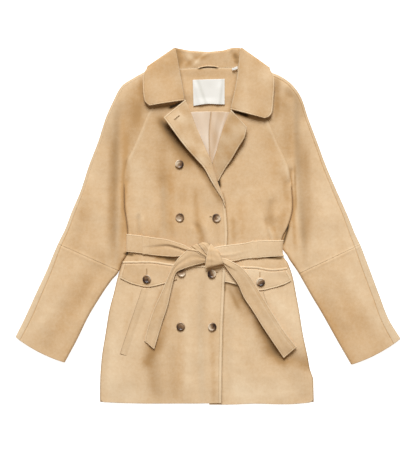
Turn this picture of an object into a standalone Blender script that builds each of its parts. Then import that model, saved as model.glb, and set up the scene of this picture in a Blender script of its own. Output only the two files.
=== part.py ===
"""A double-breasted suede trench coat with its belt tied, laid out flat with the front up.

Every piece that a maker would cut is one object. The tables and sizes are in millimetres and the objects in
metres. X runs from the wearer's right sleeve to the left one, Y from the hem to the collar, and Z up. The
origin is on the surface that the coat lies on, under the middle of the back.

The cloth is stacked in layers: the collar's back fall and the back of the belt lie on the surface, then come
the back, the lining, the left front, the right front over it, the lapels and collar, and the tied belt.
"""

import bmesh
import bpy
import numpy as np

MM = 0.001

# Cloth
WALL = 1.5              # suede with its lining, in the panels
LAPEL_WALL = 1.8        # two layers of suede: lapels, collar, belt
FLAP_WALL = 1.6
TRIM_WALL = 1.0         # facing, lining, pocket welts
SEAM = 0.4              # space between two panels at their seam
LIE = 0.6               # space between a piece and the one that it lies on
THIN = 0.35             # and under the thin trims
HEEL = 1.1              # space between the back and the outer corner of an edge that is folded down to it
FOLD = 5.0              # how far from a folded edge the cloth starts to turn down
BACK_INSET = 0.5        # the back stops this far inside the fronts' folded sides
BELT_INSET = 4.5        # and this much further in, where the belt turns under it
ROLL = 3.0              # radius of the collar's and lapels' rolled edge
PRESSED = 2.2           # mean space between the front and the back, pressed flat
PRESSED_LEAST = 0.5
PRESSED_MOST = 3.8

# Rises of the lower layers
UNDER = 2.1             # the back rises this far over the belt and over the collar's back fall
NECK_RISE = (288, 308)  # the back climbs onto the collar's back fall between these heights
BELT_RISE = (-85, -72, -15, -2)
BODY_REACH = 230        # the belt passes under the body, and not under the sleeves
NECK_LIFT = (250, 305)  # the front climbs over the collar's back fall between these heights
BELT_LIFT_TOP = (60, -8)
BELT_LIFT_BOTTOM = (-150, -80)
BELT_LIFT_SIDE = (215, 190)
LINING_RISE = 1.2       # the fronts rise this far over the lining
LINING_MIDDLE = 8
LINING_SIDE = (96, 74)
LINING_BOTTOM = (60, 105)
LINING_TOP = (345, 300)
LAP = 1.1               # the right front lies this far above the mean front, over the left one
LAP_RISE = (-66, -22)
LAP_FALL = (110, 62)
UNDERLAP = 1.2          # and the left front this far below it
UNDERLAP_FALL = (72, 46)
CROSSING_RISE = 2.7     # the right front climbs over the left lapel
CROSSING_X = (-26, -2)
CROSSING_BOTTOM = (30, 74)
CROSSING_TOP = (205, 160)

# Places down the coat
ARMPIT = 104
LAPEL_END = 84
HEM_FALL = (-330, -410)
HEM_DROP = 1.2

# Buttons
BUTTON_RADIUS = 10.0
BUTTON_HEIGHT = 4.2
BUTTON_RIM = 2.2
BUTTON_HOLE = 1.1
BUTTON_HOLE_RING = 2.6
BUTTON_SIDES = 16


class Table:
    """A short table with named columns, read between its rows along a smooth curve.

    at(column, place) reads by the first column; by_row(column, place) reads by the row's number.
    """

    def __init__(self, columns, *rows):
        self.columns = columns.split()
        self.rows = np.array(rows, float)

    def last(self):
        return len(self.rows) - 1

    def by_row(self, column, place):
        return self.curve(np.arange(len(self.rows)), self.column(column), place)

    def at(self, column, place):
        return self.curve(self.rows[:, 0], self.column(column), place)

    def column(self, name):
        return self.rows[:, self.columns.index(name)]

    @staticmethod
    def curve(keys, values, place):
        """A cubic between each two rows that never swings past them: its slope at a row is the harmonic
        mean of the slopes on its two sides, or 0 where they differ in sign."""
        if keys[0] > keys[-1]:
            keys = keys[::-1]
            values = values[::-1]
        place = np.clip(np.asarray(place, float), keys[0], keys[-1])
        step = np.diff(keys)
        chords = np.diff(values) / step
        before, after = chords[:-1], chords[1:]
        turns = before * after <= 0
        between = np.where(turns, 0, 2 * before * after / np.where(turns, 1, before + after))
        slopes = np.concatenate([chords[:1], between, chords[-1:]])
        row = np.clip(np.searchsorted(keys, place, side="right") - 1, 0, len(step) - 1)
        t = (place - keys[row]) / step[row]
        from_value = values[row] * (1 + 2 * t) * (1 - t) ** 2
        from_slope = slopes[row] * step[row] * t * (1 - t) ** 2
        to_value = values[row + 1] * (3 - 2 * t) * t ** 2
        to_slope = slopes[row + 1] * step[row] * t ** 2 * (t - 1)
        return from_value + from_slope + to_value + to_slope


# The line where body and sleeve meet: the raglan seam down to the armpit, then the body's own side.
SIDE = Table(
    "y right left",
    (364, -85, 82), (329, -106, 103), (294, -128, 122), (263, -143, 136),
    (223, -160, 153), (186, -176, 169), (150, -192, 185), (122, -196.5, 192.5),
    (96, -197, 196), (47, -196, 199), (2, -190, 189), (-28, -188, 174.5),
    (-59, -189, 171.5), (-85, -202, 188), (-120, -213, 200), (-157, -222, 207),
    (-195, -232, 214), (-251, -241, 223), (-308, -250, 235), (-345, -253, 242),
    (-380, -254, 248), (-413, -254, 249))

# The inner edge of each front: its roll line, where the lapel turns out, and then its buttoning edge.
EDGE = Table(
    "y right left",
    (352, -63.5, 65.5), (329, -59.5, 62.5), (304, -57.5, 59.5), (288, -48, 56.5), (270, -40, 51),
    (235, -27, 36), (203, -13, 26),
    (177, -2, 19), (155, 8, 11), (122, 18, 2), (94, 27, -6), (60, 39, -11),
    (19, 43, -11), (-16, 45, -9), (-82, 41, -7), (-148, 38, -5), (-242, 34, -2),
    (-336, 32, 0), (-416, 31, 3))

# Each sleeve by the height of its inner edge: its inner edge below the armpit, its outer edge, and how far
# the overarm seam lies inside the outer edge.
SLEEVES = {
    "right": Table(
        "y inner outer outer_y seam",
        (364, -85, -101, 392, 7), (329, -106, -136, 371, 7), (294, -127, -174, 350, 7),
        (263, -143, -202, 331, 7), (223, -160, -223, 294, 7), (186, -176, -240, 256, 7),
        (150, -192, -258, 200, 7), (99, -197.7, -280, 143, 7), (47, -197.6, -298, 87, 7),
        (-7, -194.2, -320, 35, 8), (-63, -198.5, -336, -7, 8), (-103, -213, -352, -39, 9),
        (-155, -247, -378, -101, 11), (-209, -280, -404, -157, 13), (-266, -308, -430, -214, 14),
        (-318, -336, -452, -258, 13)),
    "left": Table(
        "y inner outer outer_y seam",
        (362, 82, 99, 392, 7), (322, 106, 132, 369, 7), (282, 127, 167, 355, 7),
        (251, 141, 195, 336, 7), (212, 157, 219, 303, 7), (176, 174, 235, 256, 7),
        (139, 192, 256, 200, 7), (87, 197.7, 277, 143, 8), (47, 200.7, 301, 87, 9),
        (2, 194, 322, 40, 10), (-26, 181, 335, 9, 11), (-59, 184, 345, -16, 12),
        (-109, 213, 357, -41, 14), (-160, 242, 380, -101, 16), (-207, 270, 401, -157, 16),
        (-266, 303, 423, -214, 17), (-323, 336, 452, -262, 20)),
}
ELBOW = {"right": -103, "left": -109}
CUFF = {"right": -318, "left": -323}
CUFF_BOW = 6
SLEEVE_BELLY = 1.1
SLEEVE_ROWS = (364, 352, 329, 308, 288, 263, 223, 186, 150, 122, 96, 84, 70, 35, 0, -35, -70)
FOREARM_STEP = 50

# The waist seam and the hem, across the coat.
WAIST = Table(
    "x y",
    (-210, -83), (-141, -82), (-73, -90), (0, -93), (40, -93), (110, -95), (150, -100.5), (200, -95))
HEM = {
    "right": Table("x y", (-254, -404), (-244, -411), (-120, -414.5), (31, -413.5)),
    "left": Table("x y", (3, -417), (40, -417), (110, -414.5), (175, -416), (238, -412), (249, -404)),
}
BODY_ROWS = (352, 329, 308, 288, 263, 223, 186, 150, 122, 96, 84, 70, 35, 0, -35, -60)
SKIRT_ROWS = (-120, -155, -195, -240, -290, -340, -380)
BACK_ROWS = (364,) + BODY_ROWS[1:-4] + (35, -2, -15, -28, -44, -58, -72, -85) + SKIRT_ROWS + (-411,)
HEM_MEAN = -413

# The largest folds in the front and the sleeves: soft ridges, and troughs where the height is negative.
FOLDS = Table(
    "x0 y0 x1 y1 width height",
    (-101, 95, -98, 5, 17, -1.3),
    (-150, 170, -135, 40, 24, 0.9),
    (150, 150, 120, 60, 24, 0.8),
    (141, 55, 150, 0, 15, -1.1),
    (75, -172, 150, -300, 18, -1.4),
    (150, -305, 225, -332, 18, -0.9),
    (-128, -215, -118, -350, 18, -1.2),
    (-86, -300, -80, -400, 16, -0.9),
    (-178, -160, -215, -390, 26, 1.3),
    (-55, -150, -50, -400, 22, 0.9),
    (110, -160, 80, -395, 24, 1.0),
    (185, -190, 215, -390, 22, 1.1),
    (-235, 110, -225, -40, 22, -1.0),
    (-262, 60, -290, -40, 20, 1.0),
    (-300, -90, -380, -230, 24, 1.2),
    (-262, -140, -320, -260, 18, -1.0),
    (228, 100, 236, 0, 20, -1.1),
    (270, 60, 285, -30, 20, 1.0),
    (300, -90, 370, -230, 24, 1.2),
    (262, -140, 320, -250, 18, -1.0))

FOLD_FULL = 0.35        # a fold has its full height over this share of its length each way from its middle

# The collar leaf, from its right front to its left: the roll, the outer edge, the turn of its face from up
# (90) through the fold over the shoulder to down (-90), and how far its rolled edge turns (degrees).
COLLAR = Table(
    "roll_x roll_y edge_x edge_y face roll",
    (-56.5, 303, -136, 284, 90, 90),
    (-57.5, 312, -147, 294, 90, 90),
    (-60, 334, -152, 319, 90, 90),
    (-64, 360, -152, 346, 90, 90),
    (-68, 385, -149, 361, 90, 75),
    (-72, 414, -144, 369, 90, 45),
    (-72, 414, -144, 369, 60, 40),
    (-72, 414, -144, 369, 30, 40),
    (-72, 414, -144, 369, 0, 40),
    (-72, 414, -144, 369, -30, 40),
    (-72, 414, -144, 369, -60, 40),
    (-71, 414, -143, 367, -90, 45),
    (-62, 416, -128, 352, -90, 110),
    (-42, 415, -80, 328, -90, 180),
    (0, 410, 0, 315, -90, 180),
    (42, 415.5, 80, 325, -90, 180),
    (61, 418, 130, 348, -90, 110),
    (69, 415, 145, 364, -90, 45),
    (70, 415, 146, 366, -60, 40),
    (70, 415, 146, 366, -30, 40),
    (70, 415, 146, 366, 0, 40),
    (70, 415, 146, 366, 30, 40),
    (70, 415, 146, 366, 60, 40),
    (70, 415, 146, 366, 90, 45),
    (68, 385, 153, 347, 90, 75),
    (66, 360, 154, 330, 90, 90),
    (62.5, 330, 152, 302, 90, 90),
    (59, 303, 148, 272, 90, 90),
    (56.5, 289, 141, 262, 90, 90),
    (56, 281, 130, 258.5, 90, 90))
SHOULDER_FOLD = 5.0     # the leaf's fold reaches this far past its row in the table

# Each lapel from the gorge down: its roll line and its outer edge.
LAPELS = {
    "right": Table(
        "roll_x roll_y edge_x edge_y",
        (-52, 298, -104, 255), (-40, 270, -90, 236), (-27, 235, -70, 208), (-13, 203, -47, 179),
        (-2, 177, -27, 157), (8, 155, -9, 136), (18, 122, 7, 107), (30.5, 86, 24, 79)),
    "left": Table(
        "roll_x roll_y edge_x edge_y",
        (53, 275, 91, 233), (39, 244, 86, 210), (29, 214, 70, 183), (20, 181, 55, 157),
        (11, 155, 42, 138), (4, 129, 31, 119), (0, 113, 25, 107)),
}
LAPEL_ROLL = 3.6
LAPEL_CLEAR = 3.8       # the front's edge stops this far inside the lapel's roll

# What shows in the neck
STAND = Table(
    "x low high",
    (-65, 388, 396), (-57, 374, 406), (-42, 371, 410.8), (-20, 370.7, 408), (0, 371.2, 406),
    (20, 371.7, 408.2), (42, 372.5, 411.3), (55, 374, 408), (63, 388, 399))
STAND_TOP = 6.0
FACING = Table("y left_x right_x", (370.5, -58, 57), (340, -52, 60), (308, -46, 56), (288, -42, 52),
               (270, -38, 50))
LINING = Table("y left_x right_x", (269.4, -46, 55), (235, -33, 42), (203, -19, 32), (177, -8, 25),
               (155, 0, 18), (125, 4, 12))
PLEAT = Table("y x", (269.4, 6), (214, 2), (177, 3), (125, 7))
PLEAT_STEP = 0.7
LABEL = Table("y left_x right_x", (346, -36, 39), (318, -35, 39), (286, -34, 39))
LABEL_WALL = 0.7
LABEL_LIFT = 1.0        # its lower edge stands off the facing
LABEL_LIFTED = (310, 286)
HANGER = Table("x y", (-24, 373), (-14, 377.5), (0, 379.5), (14, 378.5), (25, 375.5))
HANGER_WIDTH = 4
TAB = Table("x low high", (57, 374.5, 380), (62, 375.5, 381), (68, 376.7, 382.7))

# The belt, by its distance along the coat
BELT = {
    "right": Table(
        "x top bottom",
        (-196, -16, -58), (-157, -20, -62), (-133, -24, -66), (-100, -28, -69), (-79, -34, -70),
        (-57, -41, -68), (-42, -49, -66), (-14, -56, -68)),
    "left": Table(
        "x top bottom",
        (180, -31, -69), (150, -31, -70), (114, -32, -73), (78, -35, -77), (55, -40, -82), (42, -43, -80),
        (38, -45, -78)),
}
BELT_WIDTH = 42
BELT_CROWN = 2.2        # the belt arches up where it is gathered into the knot
BELT_WRAP = 6.0         # the belt starts to turn round the side this far inside it
BELT_ROUND = 3.8        # and stands this far outside it
BELT_BACK_ENDS = (-130, 115)
BELT_TAILS = {
    "right": Table(
        "left_x left_y right_x right_y lift",
        (-9.5, -66, -9.5, -83, 6.5), (-38, -52, -36, -91, 4.8), (-64, -67, -59, -99, 5.2),
        (-81, -88, -74, -109, 5.0), (-93, -114, -80, -122, 2.6), (-107, -148, -86, -156, 1.0),
        (-118, -172, -93, -181, 0.3), (-135, -214, -107, -224, 0), (-149, -267, -126, -287, 0)),
    "left": Table(
        "left_x left_y right_x right_y lift",
        (39, -88, 38, -72, 4.4), (51, -96, 60, -82, 4.2), (63, -115, 82, -96, 3.4),
        (73, -137, 100, -121, 2.6), (98, -189, 132, -169, 2.2), (133, -241, 169, -223, 2.2),
        (177, -307, 208, -280, 1.8)),
}
KNOT_WRAP = Table(
    "left_x left_y right_x right_y z drop",
    (-22, -42, -3, -37.5, 17, 1), (-17, -48, 8, -41, 20.5, 2), (-9, -57, 19, -50.5, 24, 3),
    (-5.5, -66, 29, -62, 26.8, 4.5), (-6.5, -77, 35.5, -74, 27, 5.5), (-6.5, -88, 35, -85, 23.5, 4.5),
    (-5, -96.5, 24, -95, 17, 2))
KNOT_CORE_CENTRE = (14, -71)
KNOT_CORE_HALF = (15, 15.5)
KNOT_CORE_TOP = 24.4
LOOPS = {"right": (-145, 8), "left": (109.5, 7)}
LOOP_WALL = 1.2
LOOP_FOOT = 6           # a loop's ends lie on the front this far above and below the belt
LOOP_CLEAR = 1.3

# Pockets
FLAPS = {
    "right": Table(
        "x bottom",
        (-208, -119), (-195, -126), (-176, -134), (-142, -141), (-106, -134), (-84, -127), (-73, -123)),
    "left": Table(
        "x bottom",
        (41, -130), (60, -134), (78, -139), (100, -145), (120, -149), (157, -142), (185, -132), (194, -127)),
}
FLAP_BELOW_WAIST = 5
FLAP_TOP = -92
WELTS = {
    "right": Table("left_x left_y right_x right_y", (-160, -143.5, -136, -144.5), (-172, -183, -148, -184),
                   (-186, -230, -162, -232), (-197, -266, -174, -270), (-208, -296, -188, -304)),
    "left": Table("left_x left_y right_x right_y", (114, -154, 138, -151.5), (124, -190, 147, -190),
                  (136, -230, 158, -232), (147, -266, 169, -270), (157, -298, 179, -306)),
}
WELT_CLEAR = 1.0
PIPING = {"right": (-200, 39.5), "left": (43.5, 186)}
PIPING_HALF = 2.2
PIPING_HEIGHT = 1.6

# Buttons: name, place, and what the button lies on
BUTTONS = (
    ("button_lapel", -67, 147, "front"),
    ("button_waist_right", -66, 22, "front"),
    ("button_waist_left", 20, 21, "front"),
    ("button_hip_right", -62, -107, "front"),
    ("button_hip_left", 9, -110, "front"),
    ("button_low_right", -64, -233, "front"),
    ("button_low_left", 10, -234, "front"),
    ("button_flap_right", -143, -122, "flap_right"),
    ("button_flap_left", 123, -129, "flap_left"))

FINISHES = {
    "suede": ("D9B98E", 0.9),
    "suede_dark": ("CFAE82", 0.9),
    "satin": ("DEC8AB", 0.5),
    "white_satin": ("F2F0EA", 0.4),
    "horn": ("6A5342", 0.3),
}


# --- Surfaces ---

def smooth_step(start, end, place):
    """0 before start and 1 past end, with a smooth climb between; start may be the larger one."""
    t = np.clip((np.asarray(place, float) - start) / (end - start), 0, 1)
    return t * t * (3 - 2 * t)


def sign(side):
    return -1 if side == "right" else 1


def back_rise(x, y):
    """How far the back's underside stands off the surface."""
    belt = over_belt(y) * (np.abs(x) < BODY_REACH)
    return np.maximum(neck_rise(y), UNDER * belt)


def neck_rise(y):
    """The part of that rise over the collar's back fall, which the sleeves share."""
    return UNDER * np.interp(y, NECK_RISE, (0, 1))


def over_belt(y):
    return np.interp(y, BELT_RISE, (0, 1, 1, 0))


def relief(x, y):
    """The sum of the folds, each a bell across its line that fades out at the line's ends."""
    total = np.zeros(np.broadcast(x, y).shape)
    for x0, y0, x1, y1, width, height in FOLDS.rows:
        run = np.hypot(x1 - x0, y1 - y0)
        along = ((x - x0) * (x1 - x0) + (y - y0) * (y1 - y0)) / run ** 2
        across = ((x - x0) * (y1 - y0) - (y - y0) * (x1 - x0)) / run
        past_end = np.maximum(np.abs(along - 0.5) - FOLD_FULL, 0) * run
        total += height * np.exp(-(across / width) ** 2 - (past_end / (2 * width)) ** 2)
    return total


def front_mean(x, y):
    """The top of a single front layer: the back under it, the pressed space, and the layers that lift it."""
    drop = HEM_DROP * smooth_step(*HEM_FALL, y)
    space = np.clip(PRESSED + relief(x, y) - drop, PRESSED_LEAST, PRESSED_MOST)
    under = UNDER * np.maximum(neck_band(y), belt_band(x, y)) + LINING_RISE * lining_zone(x, y)
    return 2 * WALL + under + space


def neck_band(y):
    """1 over the collar's back fall, fading out below it."""
    return smooth_step(*NECK_LIFT, y)


def belt_band(x, y):
    """1 over the belt's back stretch, fading out up and down the body and at its sides."""
    return smooth_step(*BELT_LIFT_TOP, y) * smooth_step(*BELT_LIFT_BOTTOM, y) * smooth_step(
        *BELT_LIFT_SIDE, np.abs(x))


def lining_zone(x, y):
    """1 over the lining and the neck facing, fading out round them."""
    return smooth_step(*LINING_SIDE, np.abs(x - LINING_MIDDLE)) * smooth_step(
        *LINING_BOTTOM, y) * smooth_step(*LINING_TOP, y)


def front_top(side, x, y):
    """The top of the right front, which laps over, or of the left front, which lies under it."""
    mean = front_mean(x, y)
    if side == "left":
        least = 2 * WALL + PRESSED_LEAST + UNDER * belt_band(x, y) + LINING_RISE * lining_zone(x, y)
        return np.maximum(mean - UNDERLAP * smooth_step(*UNDERLAP_FALL, x), least)
    crossing = smooth_step(*CROSSING_X, x) * smooth_step(*CROSSING_BOTTOM, y) * smooth_step(*CROSSING_TOP, y)
    return mean + LAP * smooth_step(*LAP_RISE, x) + CROSSING_RISE * crossing


def cloth_top(x, y):
    """The highest front at a place, for what lies across both."""
    lap = LAP * smooth_step(*LAP_RISE, x) * smooth_step(*LAP_FALL, x)
    return front_mean(x, y) + lap


def fold_down(top, low, distance, amount):
    """Turns a panel's edge down: a quarter of an ellipse from its top to its low edge over FOLD."""
    turn = np.sqrt(np.clip(1 - (1 - np.clip(distance / FOLD, 0, 1)) ** 2, 0, 1))
    return top - amount * (top - low) * (1 - turn)


FOLD_STEPS = FOLD * (1 - np.sin(np.radians((90, 60, 30, 0))))


# --- Objects ---

def material(name, finish):
    colour, roughness = FINISHES[finish]
    made = bpy.data.materials.new(name)
    made.use_nodes = True
    shader = made.node_tree.nodes["Principled BSDF"]
    channels = [int(colour[i:i + 2], 16) / 255 for i in (0, 2, 4)]
    linear = [c / 12.92 if c < 0.04045 else ((c + 0.055) / 1.055) ** 2.4 for c in channels]
    shader.inputs["Base Color"].default_value = (*linear, 1)
    shader.inputs["Roughness"].default_value = roughness
    shader.inputs["Metallic"].default_value = 0
    made.diffuse_color = (*linear, 1)
    return made


def add_object(name, mesh, finish):
    made = bpy.data.objects.new(name, mesh)
    made.data.materials.append(material(name, finish))
    coat.objects.link(made)
    return made


def cloth(name, skin, wall, faces="up", finish="suede"):
    """A wall under an outer skin, given as rows of points; faces says where most of the skin looks."""
    rows, points = skin.shape[:2]
    shape = bmesh.new()
    bmesh.ops.create_grid(shape, x_segments=points - 1, y_segments=rows - 1, size=1)
    for vert, place in zip(shape.verts, skin.reshape(-1, 3) * MM):
        vert.co = place
    shape.normal_update()
    looks_up = sum(face.normal.z * face.calc_area() for face in shape.faces) > 0
    if looks_up != (faces == "up"):
        bmesh.ops.reverse_faces(shape, faces=shape.faces)
    bmesh.ops.triangulate(shape, faces=shape.faces)
    mesh = bpy.data.meshes.new(name)
    shape.to_mesh(mesh)
    shape.free()
    made = add_object(name, mesh, finish)
    made.data.shade_smooth()
    shell = made.modifiers.new("wall", "SOLIDIFY")
    shell.thickness = wall * MM
    shell.offset = -1
    return made


def grid(x, y, z):
    return np.stack(np.broadcast_arrays(x, y, z), axis=-1).astype(float)


def spread(start, end, steps):
    """Evenly spaced places from start to end; both may be columns, one entry for each row."""
    share = np.linspace(0, 1, steps + 1)
    start = np.asarray(start, float)
    end = np.asarray(end, float)
    return start[..., None] * (1 - share) + end[..., None] * share


# --- Body ---

def back():
    """The back panel lies on the surface, and rises over the belt and the collar's back fall."""
    y = np.array(BACK_ROWS, float)[:, None]
    inset = np.where(y > ARMPIT, SEAM / 2, BACK_INSET) + BELT_INSET * over_belt(y)
    right = SIDE.at("right", y) + inset
    left = SIDE.at("left", y) - inset
    x = spread(right[:, 0], left[:, 0], 8)
    cloth("back", grid(x, y, back_rise(x, y)), WALL, "down")


def front_rows(side, rows, top_line=None, bottom_line=None):
    """The skin of one front between two cross seams, with its outer edge folded down to the back."""
    out = sign(side)
    y = np.array(rows, float)
    clear = LAPEL_CLEAR * (y > LAPEL_END - 1)
    outer = SIDE.at(side, y) - out * SEAM / 2
    inner = EDGE.at(side, y) + out * clear
    edge = outer[:, None] - out * FOLD_STEPS
    x = np.hstack([edge, spread(edge[:, -1], inner, 7)[:, 1:]])
    y = np.repeat(y[:, None], x.shape[1], axis=1)
    if top_line is not None:
        y[0] = top_line(x[0])
    if bottom_line is not None:
        y[-1] = bottom_line(x[-1])
    top = front_top(side, x, y)
    low = back_rise(x, y) + WALL + HEEL
    return grid(x, y, fold_down(top, low, np.abs(x - outer[:, None]), smooth_step(ARMPIT, LAPEL_END, y)))


def fronts(side):
    """Bodice and skirt share their points along the waist seam."""
    out = sign(side)
    waist_y = float(WAIST.at("y", SIDE.at(side, WAIST.rows[0, 1])))
    bodice = front_rows(side, BODY_ROWS + (waist_y,), bottom_line=lambda x: WAIST.at("y", x) + SEAM / 2)
    skirt = front_rows(side, (waist_y,) + SKIRT_ROWS + (HEM_MEAN,),
                       top_line=lambda x: WAIST.at("y", x) - SEAM / 2,
                       bottom_line=lambda x: HEM[side].at("y", x))
    cloth(f"bodice_{side}", bodice, WALL)
    cloth(f"skirt_{side}", skirt, WALL)


# --- Sleeves ---

def sleeve_rows(side, rows):
    """Inner and outer points of a sleeve's rows, its seam, and how far it is folded under the arm."""
    y = np.array(rows, float)
    out = sign(side)
    seam = SIDE.at(side, y) + out * SEAM / 2
    inner_x = np.where(y > ARMPIT, seam, SLEEVES[side].at("inner", y))
    inner = np.stack([inner_x, y], axis=-1)
    outer = np.stack([SLEEVES[side].at("outer", y), SLEEVES[side].at("outer_y", y)], axis=-1)
    return inner, outer, SLEEVES[side].at("seam", y), smooth_step(ARMPIT, LAPEL_END, y)


def sleeve_skins(side, rows, cuff=False):
    """The front of a sleeve, from overarm seam to underarm fold, and its back, round the outer edge."""
    inner, outer, seam, folded = sleeve_rows(side, rows)
    width = np.linalg.norm(inner - outer, axis=-1)
    across = (inner - outer) / width[:, None]
    along = np.stack([-across[:, 1], across[:, 0]], axis=-1) * sign(side)

    def place(distance):
        at = outer[:, None] + across[:, None] * distance[..., None]
        if cuff:
            share = distance[-1] / width[-1]
            at[-1] += along[-1] * (4 * CUFF_BOW * share * (1 - share))[:, None]
        return at[..., 0], at[..., 1]

    def top(x, y):
        belly = SLEEVE_BELLY * smooth_step(ARMPIT, 40, inner[:, 1])[:, None]
        space = np.clip(PRESSED + relief(x, y), PRESSED_LEAST, PRESSED_MOST - SLEEVE_BELLY)
        return 2 * WALL + UNDER * neck_band(y) + space + belly

    near = width[:, None] - FOLD_STEPS[::-1]
    distance = np.hstack([spread(seam + SEAM / 2, near[:, 0], 4)[:, :-1], near])
    x, y = place(distance)
    height = fold_down(top(x, y), WALL + HEEL + neck_rise(y), width[:, None] - distance, folded[:, None])
    front = grid(x, y, height)

    turn = np.radians(np.array((90, 45, 0, -45, -90)))
    round_edge = FOLD * (1 - np.cos(turn)) + np.zeros((len(width), 1))
    under = spread(np.full(len(width), FOLD), width - np.where(folded > 0, 0.6, 0), 2)[:, 1:]
    distance = np.hstack([(seam - SEAM / 2)[:, None], round_edge, under])
    x, y = place(distance)
    low = neck_rise(y)
    high = top(x, y)
    share = np.hstack([[1], (1 + np.sin(turn)) / 2, np.zeros(under.shape[1])])
    return front, grid(x, y, low + (high - low) * share)


def sleeve(side):
    """Four panels: front and back, each cut across at the elbow."""
    elbow = ELBOW[side]
    upper = sleeve_skins(side, SLEEVE_ROWS + (elbow + SEAM / 2,))
    forearm = np.linspace(elbow - SEAM / 2, CUFF[side], 1 + round((elbow - CUFF[side]) / FOREARM_STEP))
    lower = sleeve_skins(side, forearm, cuff=True)
    for part, (front, back_skin) in (("upper", upper), ("lower", lower)):
        cloth(f"sleeve_{side}_front_{part}", front, WALL)
        cloth(f"sleeve_{side}_back_{part}", back_skin, WALL, "down")


# --- Collar, lapels and neck ---

def rolled(reach, roll, steps=5):
    """A rolled edge as distances from the roll line and depths under the face: an arc of the roll."""
    turn = np.radians(roll)[:, None] * np.linspace(1, 0, steps + 1)
    return reach * (1.1 - np.sin(turn)), reach * (1 - np.cos(turn))


def strip(roll_xy, edge_xy, reach, roll, steps):
    """Plan places and depths of a strip that is rolled along one edge and flat to the other."""
    length = np.linalg.norm(edge_xy - roll_xy, axis=-1)
    across = (edge_xy - roll_xy) / length[:, None]
    near, depth = rolled(reach, roll)
    flat = spread(near[:, -1], length, steps)[:, 1:]
    distance = np.hstack([near, flat])
    depth = np.hstack([depth, np.zeros(flat.shape)])
    return roll_xy[:, None] + across[:, None] * distance[..., None], depth, across


def collar_leaf():
    """One strip: up on each front, folded over the shoulders and under the back neck."""
    rows = COLLAR.by_row
    place = np.arange(COLLAR.last() + 1)
    roll_xy = np.stack([rows("roll_x", place), rows("roll_y", place)], axis=-1)
    edge_xy = np.stack([rows("edge_x", place), rows("edge_y", place)], axis=-1)
    face = np.radians(rows("face", place))
    at, depth, across = strip(roll_xy, edge_xy, ROLL, rows("roll", place), 4)
    outward = np.stack([-across[:, 1], across[:, 0]], axis=-1) * np.sign(roll_xy[:, :1])
    normal_plan = outward * np.cos(face)[:, None]
    at = at + normal_plan[:, None] * (SHOULDER_FOLD - depth)[..., None]
    high = cloth_top(at[..., 0], at[..., 1]) + LIE + LAPEL_WALL
    lift = (1 + np.sin(face))[:, None] / 2
    z = high * lift - depth * np.sin(face)[:, None]
    cloth("collar_leaf", grid(at[..., 0], at[..., 1], z), LAPEL_WALL, "down")


def collar_stand():
    """The inner side of the stand, which shows behind the neck."""
    x = STAND.column("x")[:, None]
    y = spread(STAND.at("low", x[:, 0]) + SEAM, STAND.at("high", x[:, 0]), 2)
    cloth("collar_stand", grid(x, y, STAND_TOP), LAPEL_WALL, finish="suede_dark")


def neck_piece(name, table, rows, finish, pleat=0.0):
    """A thin panel on the back's inside, with a step along the pleat line if it has a pleat."""
    y = np.array(rows, float)[:, None]
    x = spread(table.at("left_x", y[:, 0]), table.at("right_x", y[:, 0]), 5)
    if pleat:
        line = PLEAT.at("x", y[:, 0])
        x = np.hstack([spread(x[:, 0], line - 1, 2), spread(line + 1, x[:, -1], 2)])
    step = np.where(x < PLEAT.at("x", y), pleat, 0)
    z = back_rise(x, y) + WALL + THIN + TRIM_WALL + step
    cloth(name, grid(x, y, z), TRIM_WALL, finish=finish)


def neck():
    neck_piece("neck_facing", FACING, (370.3, 340, 308, 288, 270), "suede_dark")
    neck_piece("back_lining", LINING, (269.4, 235, 203, 177, 155, 125), "satin", PLEAT_STEP)

    y = spread(*LABEL.column("y")[[0, -1]], 3)[:, None]
    x = spread(LABEL.at("left_x", y[:, 0]), LABEL.at("right_x", y[:, 0]), 2)
    facing_top = UNDER + WALL + THIN + TRIM_WALL
    lift = LABEL_LIFT * smooth_step(*LABEL_LIFTED, y)
    cloth("label", grid(x, y, facing_top + THIN + LABEL_WALL + lift), LABEL_WALL, finish="white_satin")

    x = spread(*HANGER.column("x")[[0, -1]], 8)[:, None]
    y = HANGER.at("y", x) + np.array((-1, 1)) * HANGER_WIDTH / 2
    cloth("hanging_loop", grid(x, y, STAND_TOP + THIN + TRIM_WALL), TRIM_WALL)

    x = spread(*TAB.column("x")[[0, -1]], 3)[:, None]
    y = spread(TAB.at("low", x[:, 0]), TAB.at("high", x[:, 0]), 1)
    cloth("size_tab", grid(x, y, STAND_TOP + THIN + LABEL_WALL), LABEL_WALL, finish="white_satin")


def lapel(side):
    """The facing, rolled out over its front from the gorge to where it meets the buttoning edge."""
    table = LAPELS[side]
    place = np.linspace(0, table.last(), 2 * table.last() + 1)
    roll_xy = np.stack([table.by_row("roll_x", place), table.by_row("roll_y", place)], axis=-1)
    edge_xy = np.stack([table.by_row("edge_x", place), table.by_row("edge_y", place)], axis=-1)
    reach = np.minimum(LAPEL_ROLL, 0.4 * np.linalg.norm(edge_xy - roll_xy, axis=-1))[:, None]
    at, depth, _ = strip(roll_xy, edge_xy, reach, np.full(len(place), 90.0), 3)
    top = front_top(side, at[..., 0], at[..., 1]) + LIE + LAPEL_WALL
    cloth(f"lapel_{side}", grid(at[..., 0], at[..., 1], top - depth), LAPEL_WALL)


# --- Belt ---

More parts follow.
